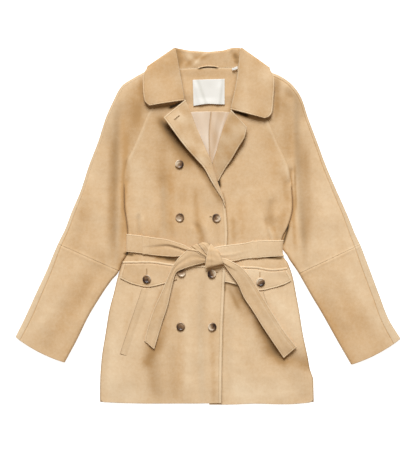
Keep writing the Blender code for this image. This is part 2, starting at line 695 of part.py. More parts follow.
def belt_side(side):
    """A front stretch from the knot to the side, round it and a little way under the back."""
    out = sign(side)
    table = BELT[side]
    knot_x = table.rows[-1, 0]
    side_x = float(SIDE.at(side, -44))
    turn_x = side_x - out * BELT_WRAP
    turn = np.radians(np.arange(90, -91, -30))[:, None]
    front_x = np.linspace(knot_x, turn_x, 10)[:-1, None]
    under_x = np.linspace(turn_x, BELT_BACK_ENDS[0 if side == "right" else 1] + out * SEAM / 2, 3)[1:, None]
    x = np.vstack([front_x, turn_x + out * (BELT_WRAP + BELT_ROUND) * np.cos(turn), under_x])
    high = np.vstack([np.ones(front_x.shape), (1 + np.sin(turn)) / 2, np.zeros(under_x.shape)])
    y = spread(table.at("top", x[:, 0]), table.at("bottom", x[:, 0]), 3)
    x = x + (SIDE.at(side, y) - side_x) * smooth_step(turn_x - out * 40, turn_x, x)
    narrow = np.clip(1 - (y[:, :1] - y[:, -1:]) / BELT_WIDTH, 0, 1)
    crown = np.array((0, 1, 1, 0)) * BELT_CROWN * narrow
    top = cloth_top(x, y) + LIE + LAPEL_WALL + crown
    cloth(f"belt_side_{side}", grid(x, y, top * high), LAPEL_WALL)


def belt_back():
    """The stretch under the back, between the ends of the two side stretches."""
    x = np.linspace(BELT_BACK_ENDS[0] + SEAM / 2, BELT_BACK_ENDS[1] - SEAM / 2, 5)[:, None]
    share = (x - x[0]) / (x[-1] - x[0])
    top = BELT["right"].at("top", -130) * (1 - share) + BELT["left"].at("top", 115) * share
    bottom = BELT["right"].at("bottom", -130) * (1 - share) + BELT["left"].at("bottom", 115) * share
    y = spread(top[:, 0], bottom[:, 0], 2)
    cloth("belt_back", grid(x, y, 0), LAPEL_WALL, "down")


def belt_tail(side):
    """A free end that hangs from the knot over the skirt."""
    table = BELT_TAILS[side]
    place = np.linspace(0, table.last(), 2 * table.last() + 1)
    x = spread(table.by_row("left_x", place), table.by_row("right_x", place), 2)
    y = spread(table.by_row("left_y", place), table.by_row("right_y", place), 2)
    lift = table.by_row("lift", place)[:, None]
    cloth(f"belt_tail_{side}", grid(x, y, cloth_top(x, y) + LIE + LAPEL_WALL + lift), LAPEL_WALL)


def knot():
    """The strand over the knot, on a rounded solid for the strands inside it."""
    place = np.linspace(0, KNOT_WRAP.last(), 2 * KNOT_WRAP.last() + 1)
    x = spread(KNOT_WRAP.by_row("left_x", place), KNOT_WRAP.by_row("right_x", place), 6)
    y = spread(KNOT_WRAP.by_row("left_y", place), KNOT_WRAP.by_row("right_y", place), 6)
    drop = KNOT_WRAP.by_row("drop", place)[:, None] * np.linspace(-1, 1, 7) ** 2
    z = KNOT_WRAP.by_row("z", place)[:, None] - drop
    cloth("belt_knot_wrap", grid(x, y, z), LAPEL_WALL)

    core = bmesh.new()
    bmesh.ops.create_uvsphere(core, u_segments=16, v_segments=8, radius=1)
    low = float(cloth_top(*KNOT_CORE_CENTRE)) + LIE
    half_z = (KNOT_CORE_TOP - low) / 2
    half_x, half_y = KNOT_CORE_HALF
    bmesh.ops.scale(core, vec=(half_x * MM, half_y * MM, half_z * MM), verts=core.verts)
    middle = (*KNOT_CORE_CENTRE, low + half_z)
    bmesh.ops.translate(core, vec=[c * MM for c in middle], verts=core.verts)
    mesh = bpy.data.meshes.new("belt_knot_core")
    core.to_mesh(mesh)
    core.free()
    mesh.shade_smooth()
    add_object("belt_knot_core", mesh, "suede_dark")


def belt_loop(side):
    """A strip that steps up over the belt and down again."""
    middle, half = LOOPS[side]
    high = float(BELT[side].at("top", middle))
    low = float(BELT[side].at("bottom", middle))
    foot = LIE + LOOP_WALL
    over = LIE + LAPEL_WALL + LOOP_CLEAR + LOOP_WALL
    y = np.array((high + LOOP_FOOT, high + 2 * LOOP_WALL, high + LOOP_WALL, (high + low) / 2,
                  low - LOOP_WALL, low - 2 * LOOP_WALL, low - LOOP_FOOT))[:, None]
    rise = np.array((foot, foot, over, over, over, foot, foot))[:, None]
    x = middle + np.array((-1, 0, 1)) * half
    cloth(f"belt_loop_{side}", grid(x, y, cloth_top(x, y) + rise), LOOP_WALL)


# --- Pockets and piping ---

def flap(side):
    """A pocket flap, caught in the waist seam, with a blunt point at its button."""
    table = FLAPS[side]
    out = sign(side)
    side_end = table.rows[0 if side == "right" else -1, 0]
    other_end = table.rows[-1 if side == "right" else 0, 0]
    down = np.linspace(0, 1, 4)[:, None]
    end_y = FLAP_TOP + (table.at("bottom", side_end) - FLAP_TOP) * down
    end_x = SIDE.at(side, end_y) - out * (FOLD + 0.8)
    x = spread(end_x[:, 0], np.full(4, other_end), 7)
    top = WAIST.at("y", x) - FLAP_BELOW_WAIST
    y = top + (table.at("bottom", x) - top) * down
    cloth(f"pocket_flap_{side}", grid(x, y, flap_top(side, x, y)), FLAP_WALL)


def flap_top(side, x, y):
    return front_top(side, x, y) + LIE + FLAP_WALL


def welt(side):
    """The slanted strip of a pocket mouth below its flap."""
    table = WELTS[side]
    place = np.arange(table.last() + 1)
    x = spread(table.by_row("left_x", place), table.by_row("right_x", place), 1)
    y = spread(table.by_row("left_y", place), table.by_row("right_y", place), 1)
    cloth(f"pocket_welt_{side}", grid(x, y, front_top(side, x, y) + WELT_CLEAR + TRIM_WALL), TRIM_WALL)


def waist_piping(side):
    """A raised strip over the waist seam."""
    start, end = PIPING[side]
    x = np.linspace(start, end, 13)[:, None]
    y = WAIST.at("y", x) + np.array((1, 0, -1)) * PIPING_HALF
    height = PIPING_HEIGHT + np.array((0.45, 1.05, 0.45))
    cloth(f"waist_piping_{side}", grid(x, y, front_top(side, x, y) + height), PIPING_HEIGHT)


# --- Buttons ---

def button(name, x, y, under):
    """A turned disc with a raised rim and four holes, seated just off the cloth."""
    ring = np.radians(np.arange(0, 360, 45))
    near_x = x + np.append(0, BUTTON_RADIUS * np.cos(ring))
    near_y = y + np.append(0, BUTTON_RADIUS * np.sin(ring))
    if under.startswith("flap"):
        seat = flap_top(under[5:], near_x, near_y).max()
    else:
        seat = front_top("right", near_x, near_y).max()
    bottom = (seat + 0.4) * MM
    rim = BUTTON_RADIUS - BUTTON_RIM
    face = BUTTON_HEIGHT - 1.3
    profile = ((0, 0.4), (rim + 0.8, 0), (BUTTON_RADIUS, 1.2), (BUTTON_RADIUS, face),
               (BUTTON_RADIUS - 0.9, BUTTON_HEIGHT), (rim, BUTTON_HEIGHT - 0.5),
               (rim - 1.2, face), (0, face))
    shape = bmesh.new()
    edges = []
    verts = [shape.verts.new((px * MM, 0, pz * MM)) for px, pz in profile]
    for first, second in zip(verts, verts[1:]):
        edges.append(shape.edges.new((first, second)))
    bmesh.ops.spin(shape, geom=verts + edges, cent=(0, 0, 0), axis=(0, 0, 1), angle=2 * np.pi,
                   steps=BUTTON_SIDES, use_merge=True)
    bmesh.ops.remove_doubles(shape, verts=shape.verts, dist=1e-6)
    bmesh.ops.recalc_face_normals(shape, faces=shape.faces)
    mesh = bpy.data.meshes.new(name)
    shape.to_mesh(mesh)
    shape.free()
    made = add_object(name, mesh, "horn")
    made.location = (x * MM, y * MM, bottom)
    holes = made.modifiers.new("holes", "BOOLEAN")
    holes.object = hole_cutter(name, made.location)
    mesh.shade_smooth()


def hole_cutter(name, place):
    """Four pins through the button, in a square turned by half a right angle."""
    shape = bmesh.new()
    for quarter in range(4):
        turn = np.pi / 4 + quarter * np.pi / 2
        pin = bmesh.ops.create_cone(shape, cap_ends=True, segments=6, radius1=BUTTON_HOLE * MM,
                                    radius2=BUTTON_HOLE * MM, depth=4 * BUTTON_HEIGHT * MM)
        centre = (BUTTON_HOLE_RING * np.cos(turn) * MM, BUTTON_HOLE_RING * np.sin(turn) * MM, 0)
        bmesh.ops.translate(shape, vec=centre, verts=pin["verts"])
    mesh = bpy.data.meshes.new(f"{name}_holes")
    shape.to_mesh(mesh)
    shape.free()
    cutter = bpy.data.objects.new(f"{name}_holes", mesh)
    cutter.location = place
    cutter.hide_render = True
    cutter.display_type = "WIRE"
    cutters.objects.link(cutter)
    return cutter


for old in list(bpy.data.objects):
    bpy.data.objects.remove(old)
coat = bpy.data.collections.new("suede_trench_coat")
cutters = bpy.data.collections.new("cutters")
bpy.context.scene.collection.children.link(coat)
bpy.context.scene.collection.children.link(cutters)

back()
neck()
collar_stand()
collar_leaf()
belt_back()
knot()
for wearer_side in ("right", "left"):
    fronts(wearer_side)
    lapel(wearer_side)
    sleeve(wearer_side)
    belt_side(wearer_side)
    belt_tail(wearer_side)
    belt_loop(wearer_side)
    flap(wearer_side)
    welt(wearer_side)
    waist_piping(wearer_side)
for label_name, button_x, button_y, lies_on in BUTTONS:
    button(label_name, button_x, button_y, lies_on)
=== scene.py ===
# %% [markdown]
# # A suede trench coat, laid out flat
# A double-breasted coat in sand-coloured suede lies on its back with the belt tied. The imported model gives
# the frame: its solids fill the places of the pieces. Here each of them is replaced by a thin shell with
# folds, seams, stitching and a material of its own. All tables are in millimetres, with X from the wearer's
# right sleeve to the left one, Y from the hem to the collar, and Z up.

import bpy
import numpy as np
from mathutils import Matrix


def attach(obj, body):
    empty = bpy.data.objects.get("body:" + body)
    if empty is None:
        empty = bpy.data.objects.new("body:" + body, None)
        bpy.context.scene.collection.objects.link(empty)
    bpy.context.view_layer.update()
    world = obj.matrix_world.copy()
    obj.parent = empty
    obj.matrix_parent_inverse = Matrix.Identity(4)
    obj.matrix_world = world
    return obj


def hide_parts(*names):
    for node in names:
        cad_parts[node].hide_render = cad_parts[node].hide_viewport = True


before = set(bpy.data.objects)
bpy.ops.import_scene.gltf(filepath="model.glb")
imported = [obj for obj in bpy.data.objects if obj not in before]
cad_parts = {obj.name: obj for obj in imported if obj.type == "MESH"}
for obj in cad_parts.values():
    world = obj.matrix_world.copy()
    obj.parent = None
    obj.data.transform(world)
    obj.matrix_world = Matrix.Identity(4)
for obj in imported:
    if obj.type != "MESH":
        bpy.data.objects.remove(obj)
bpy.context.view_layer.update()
MM = 0.001

# %% [markdown]
# ## Camera, light and floor
# The coat is looked at from straight above. One large soft lamp stands beyond the collar and a little to
# the right sleeve's side, so the folds and free edges throw soft shadows towards the hem, and a bright even
# sky fills them. The floor glows a little, like a light table, so that it stays plain white round the
# cloth.

# %% Camera, lamp, sky and floor
VIEW_HEIGHT = 1118.6 * MM
CAMERA_DISTANCE = 2486 * MM
VIEW_CENTRE = (0, -25.9 * MM)
SENSOR = 36
KEY_PLACE = (-0.4, 7.8, 6.7)
KEY_SIZE = 5.6
KEY_POWER = 1450
KEY_COLOUR = (0.93, 0.97, 1.0)
SKY_STRENGTH = 0.27
SKY_COLOUR = "FFE6C4"
FLOOR_HALF = 25
SIDES = ("right", "left")


def put(name, data, location=(0, 0, 0)):
    """Puts an object that holds the data into the scene."""
    made = bpy.data.objects.new(name, data)
    made.location = location
    bpy.context.scene.collection.objects.link(made)
    return made


eye = bpy.data.cameras.new("above")
eye.sensor_width = SENSOR
eye.lens = SENSOR * CAMERA_DISTANCE / VIEW_HEIGHT
bpy.context.scene.camera = put("camera", eye, (*VIEW_CENTRE, CAMERA_DISTANCE))

lamp = bpy.data.lights.new("key", "AREA")
lamp.shape = "DISK"
lamp.size = KEY_SIZE
lamp.energy = KEY_POWER
lamp.color = KEY_COLOUR
key = put("key", lamp, KEY_PLACE)
aim = np.array(KEY_PLACE) - (*VIEW_CENTRE, 0)
key.rotation_euler = (np.arctan2(np.hypot(aim[0], aim[1]), aim[2]), 0, np.arctan2(aim[0], -aim[1]))

sky = bpy.data.worlds.new("sky")
sky.use_nodes = True
sky.node_tree.nodes["Background"].inputs["Strength"].default_value = SKY_STRENGTH
bpy.context.scene.world = sky
bpy.context.scene.view_settings.view_transform = "Standard"
print("lens", round(eye.lens, 2), "mm")


# %% [markdown]
# ## Colours and nodes
# Colours are written as sRGB hex values, as on a dyer's card, and Blender wants them linear. One small
# function adds a shader node, sets its inputs and links it, and every material below is made with it.

# %% Colour and node helpers
def linear(hex_colour):
    """sRGB hex to linear: c / 12.92 near black, ((c + 0.055) / 1.055) ** 2.4 above it, with alpha 1."""
    channels = np.array([int(hex_colour[i:i + 2], 16) for i in (0, 2, 4)]) / 255
    low = channels / 12.92
    return (*np.where(channels < 0.04045, low, ((channels + 0.055) / 1.055) ** 2.4), 1)


def add(tree, kind, links=(), values=(), **settings):
    """Adds a node. Links and values name an input by its label or number. A setting that is one of the node's
    fields sets that, and any other sets the input of its name."""
    node = tree.nodes.new("ShaderNode" + kind)
    fields = {name: value for name, value in settings.items() if hasattr(node, name)}
    for name, value in fields.items():
        setattr(node, name, value)
    inputs = {name.replace("_", " "): value for name, value in settings.items() if name not in fields}
    for name, value in {**inputs, **dict(values)}.items():
        node.inputs[name].default_value = value
    for target, source in dict(links).items():
        tree.links.new(source, node.inputs[target])
    return node


def new_material(name, **inputs):
    """A material with its Principled shader's inputs set, and the Object coordinates for its patterns."""
    made = bpy.data.materials.new(name)
    made.use_nodes = True
    tree = made.node_tree
    shader = tree.nodes["Principled BSDF"]
    for label, value in inputs.items():
        shader.inputs[label.replace("_", " ")].default_value = value
    return made, tree, shader, add(tree, "TexCoord").outputs["Object"]


def attribute(tree, name):
    return add(tree, "Attribute", attribute_name=name).outputs["Fac"]


def noise(tree, place, size, **settings):
    return add(tree, "TexNoise", {"Vector": place}, Scale=1 / size, **settings).outputs["Fac"]


def bands(tree, place, spacing, distortion):
    """Light and dark bands. A wave of scale 1 repeats every 0.31."""
    wave = add(tree, "TexWave", {"Vector": place}, Scale=0.31 / spacing, Distortion=distortion)
    return wave.outputs["Fac"]


def mixed_in(tree, tone, *patterns):
    """tone + weight * (pattern - 0.5), for each pattern with its weight."""
    for pattern, weight in patterns:
        added = add(tree, "Math", {0: pattern, 2: tone}, {1: weight}, operation="MULTIPLY_ADD").outputs[0]
        tone = add(tree, "Math", {0: added}, {1: weight / 2}, operation="SUBTRACT").outputs[0]
    return tone


def ramp_colour(tree, shader, tone, *marks):
    """Base colour from a ramp with these (position, colour) marks."""
    ramp = add(tree, "ValToRGB", {"Fac": tone})
    for _ in marks[2:]:
        ramp.color_ramp.elements.new(0.5)
    for element, (position, colour) in zip(ramp.color_ramp.elements, marks):
        element.position = position
        element.color = colour
    tree.links.new(ramp.outputs["Color"], shader.inputs["Base Color"])


# %% The sky's colour and the floor
sky.node_tree.nodes["Background"].inputs["Color"].default_value = linear(SKY_COLOUR)
white = new_material("white_floor", Roughness=0.9, Base_Color=linear("BCBCBC"), Emission_Color=(1, 1, 1, 1),
                     Emission_Strength=0.92)[0]
floor_mesh = bpy.data.meshes.new("floor")
corners = np.array(((-1, -1), (1, -1), (1, 1), (-1, 1))) * FLOOR_HALF
floor_mesh.from_pydata([(x, y, -0.5 * MM) for x, y in corners], [], [(0, 1, 2, 3)])
floor_mesh.materials.append(white)
put("floor", floor_mesh)

# %% [markdown]
# ## Suede
# Suede is the flesh side of a split hide, sanded until it has a short nap of fibres. The nap lies this way
# and that where hands have brushed it, which gives soft cloudy patches of lighter and darker sand, and it
# scatters light at a low angle, so rounded edges look pale. So the colour is a mix of two tones that
# follows four noises: patches of a hand's breadth, brush marks of about a finger's width that run down the
# coat, mottles of a few millimetres, and the fibre's own grain. Each piece carries two numbers at each
# point. "pale" is how light that skin is, and it also holds some painted highlights and painted sheen.
# "shade" is painted shade: it darkens hollows, edges, the lines where stitches pull the skin in, and the
# shadows of free edges. A fine bump stands for the nap, and sheen for its scatter. The grain is really a few
# tenths of a millimetre; it is drawn at 1.4 mm so that it shows.

# %% The suede material
PATCH = 85 * MM
BRUSH = 22 * MM
MOTTLE = 6.5 * MM
GRAIN = 1.4 * MM


def suede(name, dark, pale):
    """Mixes the dark and pale tones by pale + patches + marks + mottles + grain, and multiplies by painted
    shade.
    """
    made, tree, shader, place = new_material(name, Roughness=0.95, Specular_IOR_Level=0.2, Sheen_Weight=0.12,
                                             Sheen_Roughness=0.45, Sheen_Tint=linear("FFF3E0"))
    brushed = add(tree, "Mapping", {"Vector": place}, Scale=(1, 0.3, 1)).outputs["Vector"]
    patches = noise(tree, place, PATCH, Detail=3, Roughness=0.55)
    marks = noise(tree, brushed, BRUSH, Detail=5, Roughness=0.65)
    mottles = noise(tree, place, MOTTLE, Detail=4, Roughness=0.6)
    grain = noise(tree, place, GRAIN, Detail=3, Roughness=0.7)
    tone = mixed_in(tree, attribute(tree, "pale"), (patches, 0.36), (marks, 0.3), (mottles, 0.5),
                    (grain, 0.4))
    mix = add(tree, "Mix", {0: tone}, {6: linear(dark), 7: linear(pale)}, data_type="RGBA")
    dimmed = add(tree, "VectorMath", {0: mix.outputs[2], "Scale": attribute(tree, "shade")},
                 operation="SCALE")
    tree.links.new(dimmed.outputs[0], shader.inputs["Base Color"])
    nap = add(tree, "Bump", {"Height": grain}, Strength=0.35, Distance=0.3 * MM)
    swirl = add(tree, "Bump", {"Height": marks, "Normal": nap.outputs[0]}, Strength=0.3, Distance=1.2 * MM)
    tree.links.new(swirl.outputs[0], shader.inputs["Normal"])
    return made


SUEDE = suede("brushed_suede", "C89F6E", "ECD4B3")
print("suede has", len(SUEDE.node_tree.nodes), "nodes")


# %% [markdown]
# ## Lining, label, horn and thread
# The lining is satin: long floating threads make it smooth, so it has a soft broad gleam and a fine
# twill-like line at the thread's spacing. The label and the size tab are white satin ribbon. The buttons
# are polished horn: layered brown with pale cloudy streaks and a clear gloss. The thread is spun polyester
# in a slightly deeper sand than the suede.

# %% The other materials
def satin(name, dark, pale, thread):
    """Two close tones, mixed by fine slanted lines at the thread's spacing, a cloud and the piece's tone."""
    made, tree, shader, place = new_material(name, Roughness=0.42, Sheen_Weight=0.2, Specular_IOR_Level=0.45)
    slanted = add(tree, "Mapping", {"Vector": place}, Rotation=(0, 0, 0.45)).outputs["Vector"]
    lines = bands(tree, slanted, thread, 0.6)
    cloud = noise(tree, place, 40 * MM, Detail=2)
    tone = mixed_in(tree, attribute(tree, "pale"), (lines, 0.2), (cloud, 0.3))
    ramp_colour(tree, shader, tone, (0, linear(dark)), (1, linear(pale)))
    bump = add(tree, "Bump", {"Height": lines}, Strength=0.15, Distance=0.1 * MM)
    tree.links.new(bump.outputs[0], shader.inputs["Normal"])
    return made


def horn(name, *marks):
    """Brown layers, warped by noise, with pale parts where the layers thin out: each button's own tone."""
    made, tree, shader, place = new_material(name, Roughness=0.32, Specular_IOR_Level=0.5)
    cloud = noise(tree, place, 21 * MM, Detail=2, Roughness=0.5, Distortion=0.8)
    ramp_colour(tree, shader, mixed_in(tree, attribute(tree, "pale"), (cloud, 0.9)), *marks)
    return made


def thread(name, colour):
    """Two plies twisted round each other: fine bands across the stitch, down to 0.8 of the colour."""
    made, tree, shader, place = new_material(name, Roughness=0.7, Sheen_Weight=0.3)
    pale = linear(colour)
    dark = (*(0.8 * channel for channel in pale[:3]), 1)
    ramp_colour(tree, shader, bands(tree, place, 0.5 * MM, 1), (0, dark), (1, pale))
    return made


LINING = satin("lining_satin", "C8A987", "E9D8C6", 0.5 * MM)
RIBBON = satin("white_satin_ribbon", "D6D4CD", "ECEAE6", 0.4 * MM)
HORN = horn("polished_horn", (0.2, linear("35231D")), (0.5, linear("8E6E50")), (0.8, linear("E0CDB4")))
THREAD = thread("sand_thread", "D0AC7B")


# %% [markdown]
# ## Tables and smooth curves
# The outlines are short tables of places, read between their rows along a smooth curve that never swings
# past a row, so a straight seam stays straight and a corner stays where it is.

# %% Tables
class Table:
    """Rows of numbers with named columns. at() reads by the first column, by_row() by the row's number."""

    def __init__(self, columns, *rows):
        self.columns = columns.split()
        self.rows = np.array(rows, float)

    def last(self):
        return len(self.rows) - 1

    def by_row(self, column, place):
        return self.curve(np.arange(len(self.rows)), self.rows[:, self.columns.index(column)], place)

    def at(self, column, place):
        return self.curve(self.rows[:, 0], self.rows[:, self.columns.index(column)], place)

    def pair(self, columns, place):
        return np.stack([self.by_row(name, place) for name in columns.split()], axis=-1)

    @staticmethod
    def curve(keys, values, place):
        """A cubic between each two rows, whose slope at a row is the harmonic mean of its two neighbours'."""
        if keys[0] > keys[-1]:
            keys, values = keys[::-1], values[::-1]
        place = np.clip(np.asarray(place, float), keys[0], keys[-1])
        step = np.diff(keys)
        chords = np.diff(values) / step
        before, after = chords[:-1], chords[1:]
        turns = before * after <= 0
        between = np.where(turns, 0, 2 * before * after / np.where(turns, 1, before + after))
        slopes = np.concatenate([chords[:1], between, chords[-1:]])
        row = np.clip(np.searchsorted(keys, place, side="right") - 1, 0, len(step) - 1)
        t = (place - keys[row]) / step[row]
        return (values[row] * (1 + 2 * t) * (1 - t) ** 2 + slopes[row] * step[row] * t * (1 - t) ** 2
                + values[row + 1] * (3 - 2 * t) * t ** 2 + slopes[row + 1] * step[row] * t ** 2 * (t - 1))


def smooth_step(start, end, place):
    """0 before start, 1 past end, t * t * (3 - 2 t) between; start may be the larger one."""
    t = np.clip((np.asarray(place, float) - start) / (end - start), 0, 1)
    return t * t * (3 - 2 * t)


def bell(distance, width):
    """exp(-(distance / width) squared)."""
    return np.exp(-(distance / width) ** 2)


def hump(share):
    """Half a wave: 0 at 0 and at 1, 1 halfway."""
    return np.sin(np.pi * np.clip(share, 0, 1))


def quarter(share):
    """A quarter circle: 0 at 0, steep at first, level and 1 from 1 on."""
    return np.sqrt(np.clip(1 - (1 - np.clip(share, 0, 1)) ** 2, 0, 1))


def sign(side):
    return -1 if side == "right" else 1


def waves(x, y, size, seed):
    """Soft random undulation of about 1 high: nine sine waves of about that size in seeded directions."""
    draw = np.random.default_rng(seed)
    total = 0
    for angle, scale, phase in zip(draw.uniform(0, np.pi, 9), draw.uniform(0.7, 1.6, 9),
                                   draw.uniform(0, 6.28, 9)):
        total = total + np.sin((x * np.cos(angle) + y * np.sin(angle)) * 6.28 / (size * scale) + phase)
    return total / 3


# %% Outlines
SIDE = Table(
    "y right left",
    (364, -85, 82), (329, -106, 103), (294, -128, 122), (263, -143, 136), (223, -160, 153), (186, -176, 169),
    (150, -192, 185), (122, -196.5, 192.5), (96, -197, 196), (47, -196, 199), (2, -190, 189),
    (-28, -188, 174.5), (-59, -189, 171.5), (-85, -202, 188), (-120, -213, 200), (-157, -222, 207),
    (-195, -232, 214), (-251, -241, 223), (-308, -250, 235), (-333, -252, 239.5), (-345, -253, 243.5),
    (-358, -253.5, 247.5), (-380, -254, 248), (-413, -254, 249))
EDGE = Table(
    "y right left",
    (352, -63.5, 65.5), (329, -59.5, 62.5), (304, -57.5, 59.5), (288, -48, 56.5), (270, -40, 51),
    (235, -27, 36), (203, -13, 26), (177, -2, 19), (155, 8, 11), (122, 18, 2), (94, 27, -6), (60, 39, -11),
    (19, 43, -11), (-16, 45, -9), (-82, 41, -7), (-148, 38, -5), (-242, 34, -2), (-336, 32, 0), (-416, 31, 3))
SLEEVES = {
    "right": Table(
        "y inner outer outer_y seam",
        (364, -85, -101, 392, 7), (329, -106, -136, 371, 7), (294, -127, -174, 350, 7),
        (263, -143, -202, 331, 7), (223, -160, -223, 294, 7), (186, -176, -240, 256, 7),
        (150, -192, -258, 200, 7), (99, -197.7, -280, 143, 7), (47, -197.6, -298, 87, 7),
        (-7, -194.2, -320, 35, 8), (-63, -198.5, -336, -7, 8), (-103, -213, -352, -39, 9),
        (-155, -247, -378, -101, 11), (-209, -280, -404, -157, 13), (-266, -308, -430, -214, 14),
        (-318, -336, -452, -258, 13)),
    "left": Table(
        "y inner outer outer_y seam",
        (362, 82, 99, 392, 7), (322, 106, 132, 369, 7), (282, 127, 167, 355, 7), (251, 141, 195, 336, 7),
        (212, 157, 219, 303, 7), (176, 174, 235, 256, 7), (139, 192, 256, 200, 7), (87, 197.7, 277, 143, 8),
        (47, 200.7, 301, 87, 9), (2, 194, 322, 40, 10), (-26, 181, 335, 9, 11), (-59, 184, 345, -16, 12),
        (-109, 213, 357, -41, 14), (-160, 242, 380, -101, 16), (-207, 270, 401, -157, 16),
        (-266, 303, 423, -214, 17), (-323, 336, 452, -262, 20)),
}
SLEEVE_TOP = {"right": 364, "left": 362}
ELBOW = {"right": -103, "left": -109}
CUFF = {"right": -318, "left": -323}
CUFF_BOW = 6
# the browner band under the arm is painted shade, where the sleeve dips beside the body
SLEEVE_TONES = {        # tone, and how much browner, over what width, the cloth is under the arm
    "right upper": (0.4, 0.34, 7), "right lower": (0.47, 0.05, 16),
    "left upper": (0.48, 0.34, 7), "left lower": (0.45, 0.3, 16)}
WAIST = Table(
    "x y",
    (-210, -83), (-141, -82), (-73, -90), (0, -93), (40, -93), (110, -95), (150, -100.5), (200, -95))
HEM = {
    "right": Table("x y", (-254, -404), (-244, -411), (-120, -414.5), (31, -413.5)),
    "left": Table("x y", (3, -417), (40, -417), (110, -414.5), (175, -416), (238, -412), (249, -404)),
}
NECK_TOP, WAIST_MEAN, HEM_MEAN = 352, -91, -413

# %% [markdown]
# ## Folds
# Cloth that lies flat isn't flat: it keeps soft hollows where the sleeve hangs from the shoulder, gathers
# that run up and down from the tied belt, and hollows beside the belt's free ends. Each fold is a row: a
# line from one place to another that may bow sideways, the fold's half width, and its height, below 0 for a
# hollow. Across the line it is a bell, and it fades out past its ends. The two fronts, the sleeves and
# everything that lies on them read the same heights, so the pieces keep their distance from each other.

# %% The fold table
FOLDS = Table(
    "x0 y0 x1 y1 bow width height",
    # wearer's right front, above the belt
    (-103, 120, -98, -10, 3, 13, -1.8), (-150, 190, -132, 60, 6, 22, 1.6), (-122, 60, -128, -12, 0, 10, 1.2),
    (-163, 25, -160, -18, 1, 4.5, -2), (-152, 20, -150, -20, 0, 5, 1.3), (-173, 30, -172, -16, 0, 6, 0.9),
    (-84, 10, -80, -28, 2, 7, -0.9), (-28, 4, -10, -40, -4, 6, -1.9), (-8, 5, 4, -38, -2, 7, 1.2),
    (-42, 0, -34, -36, 0, 8, 0.9), (22, 5, 26, -40, 2, 7, -0.8),
    # wearer's left front, above the belt
    (150, 60, 148, -4, 4, 9, -2), (134, 20, 146, -30, 0, 4.5, -1.6), (141, 0, 151, -32, 0, 4, 1.2),
    (160, 30, 163, -28, 0, 6, 1.2), (118, 30, 128, -30, -2, 8, 0.8), (62, 10, 66, -32, 0, 8, -0.9),
    (168, 165, 150, 70, -6, 20, 1.4), (100, 150, 110, 20, 4, 26, 0.9),
    # below the belt
    (-170, -62, -166, -84, 0, 6, -0.8), (-150, -66, -152, -84, 0, 7, 0.8), (90, -76, 92, -96, 0, 7, 0.7),
    # skirt, wearer's right
    (-14, -150, -12, -400, 3, 14, -1.7), (-50, -160, -46, -395, 0, 20, 1.5),
    (-84, -290, -78, -405, 2, 14, -1.3), (-128, -262, -120, -400, 5, 18, -3),
    (-104, -215, -112, -290, 0, 12, -1.2), (-178, -170, -212, -395, 0, 26, 2),
    (-232, -200, -244, -390, 0, 12, -0.9), (-20, -300, 12, -395, 0, 18, 0.8),
    # skirt, wearer's left
    (62, -152, 150, -292, 4, 15, -2.2), (140, -296, 236, -322, -7, 17, -2.8),
    (112, -170, 82, -400, 8, 22, 1.9), (48, -200, 52, -398, 0, 14, -1.1), (186, -190, 214, -290, 0, 20, 1.9),
    (150, -345, 175, -400, 0, 22, 1.3), (205, -345, 222, -405, 0, 18, -1), (20, -250, 22, -400, 0, 12, 0.9),
    # wearer's right sleeve
    (-221, 190, -223, -55, 3, 11, -3), (-204, 95, -210, -70, 2, 9, 2), (-246, 170, -262, 20, 6, 22, 1.7),
    (-150, 285, -182, 185, 5, 15, -1.2), (-205, 300, -230, 215, 6, 16, 1),
    (-285, 60, -305, -60, 4, 18, -0.9), (-250, -90, -300, -190, 6, 20, -1.1),
    (-300, -90, -380, -235, 4, 24, 1.5), (-336, -190, -380, -290, 3, 16, -0.9),
    (-262, -140, -322, -262, -3, 14, 0.9),
    # wearer's left sleeve
    (224, 175, 230, -40, -4, 13, -2.9), (206, 95, 209, -60, -2, 9, 2.2), (262, 150, 282, 10, -6, 22, 1.7),
    (196, 312, 226, 250, -5, 12, -1.8), (150, 280, 184, 180, -4, 14, 1.1), (252, 130, 262, -20, 0, 14, -0.9),
    (300, -90, 372, -235, -4, 24, 1.5), (262, -140, 322, -255, 3, 16, -1),
    (345, -160, 385, -270, 0, 16, -0.8),
    # the armpits
    (196, 135, 193, 102, 0, 4, -2.2), (188, 150, 184, 108, 2, 5, 1), (201, 125, 200, 98, 0, 4, 1.2),
    (-190, 150, -188, 105, 0, 6, -1.2))
FULL_SHARE = 0.36


def soft_line(x, y, x0, y0, x1, y1, bow, width):
    """bell(across / width) * fade, fade being 1 over the middle of the line's length."""
    run = np.hypot(x1 - x0, y1 - y0)
    along = ((x - x0) * (x1 - x0) + (y - y0) * (y1 - y0)) / run ** 2
    across = ((x - x0) * (y1 - y0) - (y - y0) * (x1 - x0)) / run
    across = across - bow * (1 - (2 * along - 1) ** 2)
    past_end = np.maximum(np.abs(along - 0.5) - FULL_SHARE, 0) * run
    return bell(across, width) * bell(past_end, 0.16 * run + 0.5 * width)


def folds(table, x, y):
    """Sum of height * soft_line over a table's rows."""
    return sum(height * soft_line(x, y, *line) for *line, height in table.rows)


print(len(FOLDS.rows), "folds")
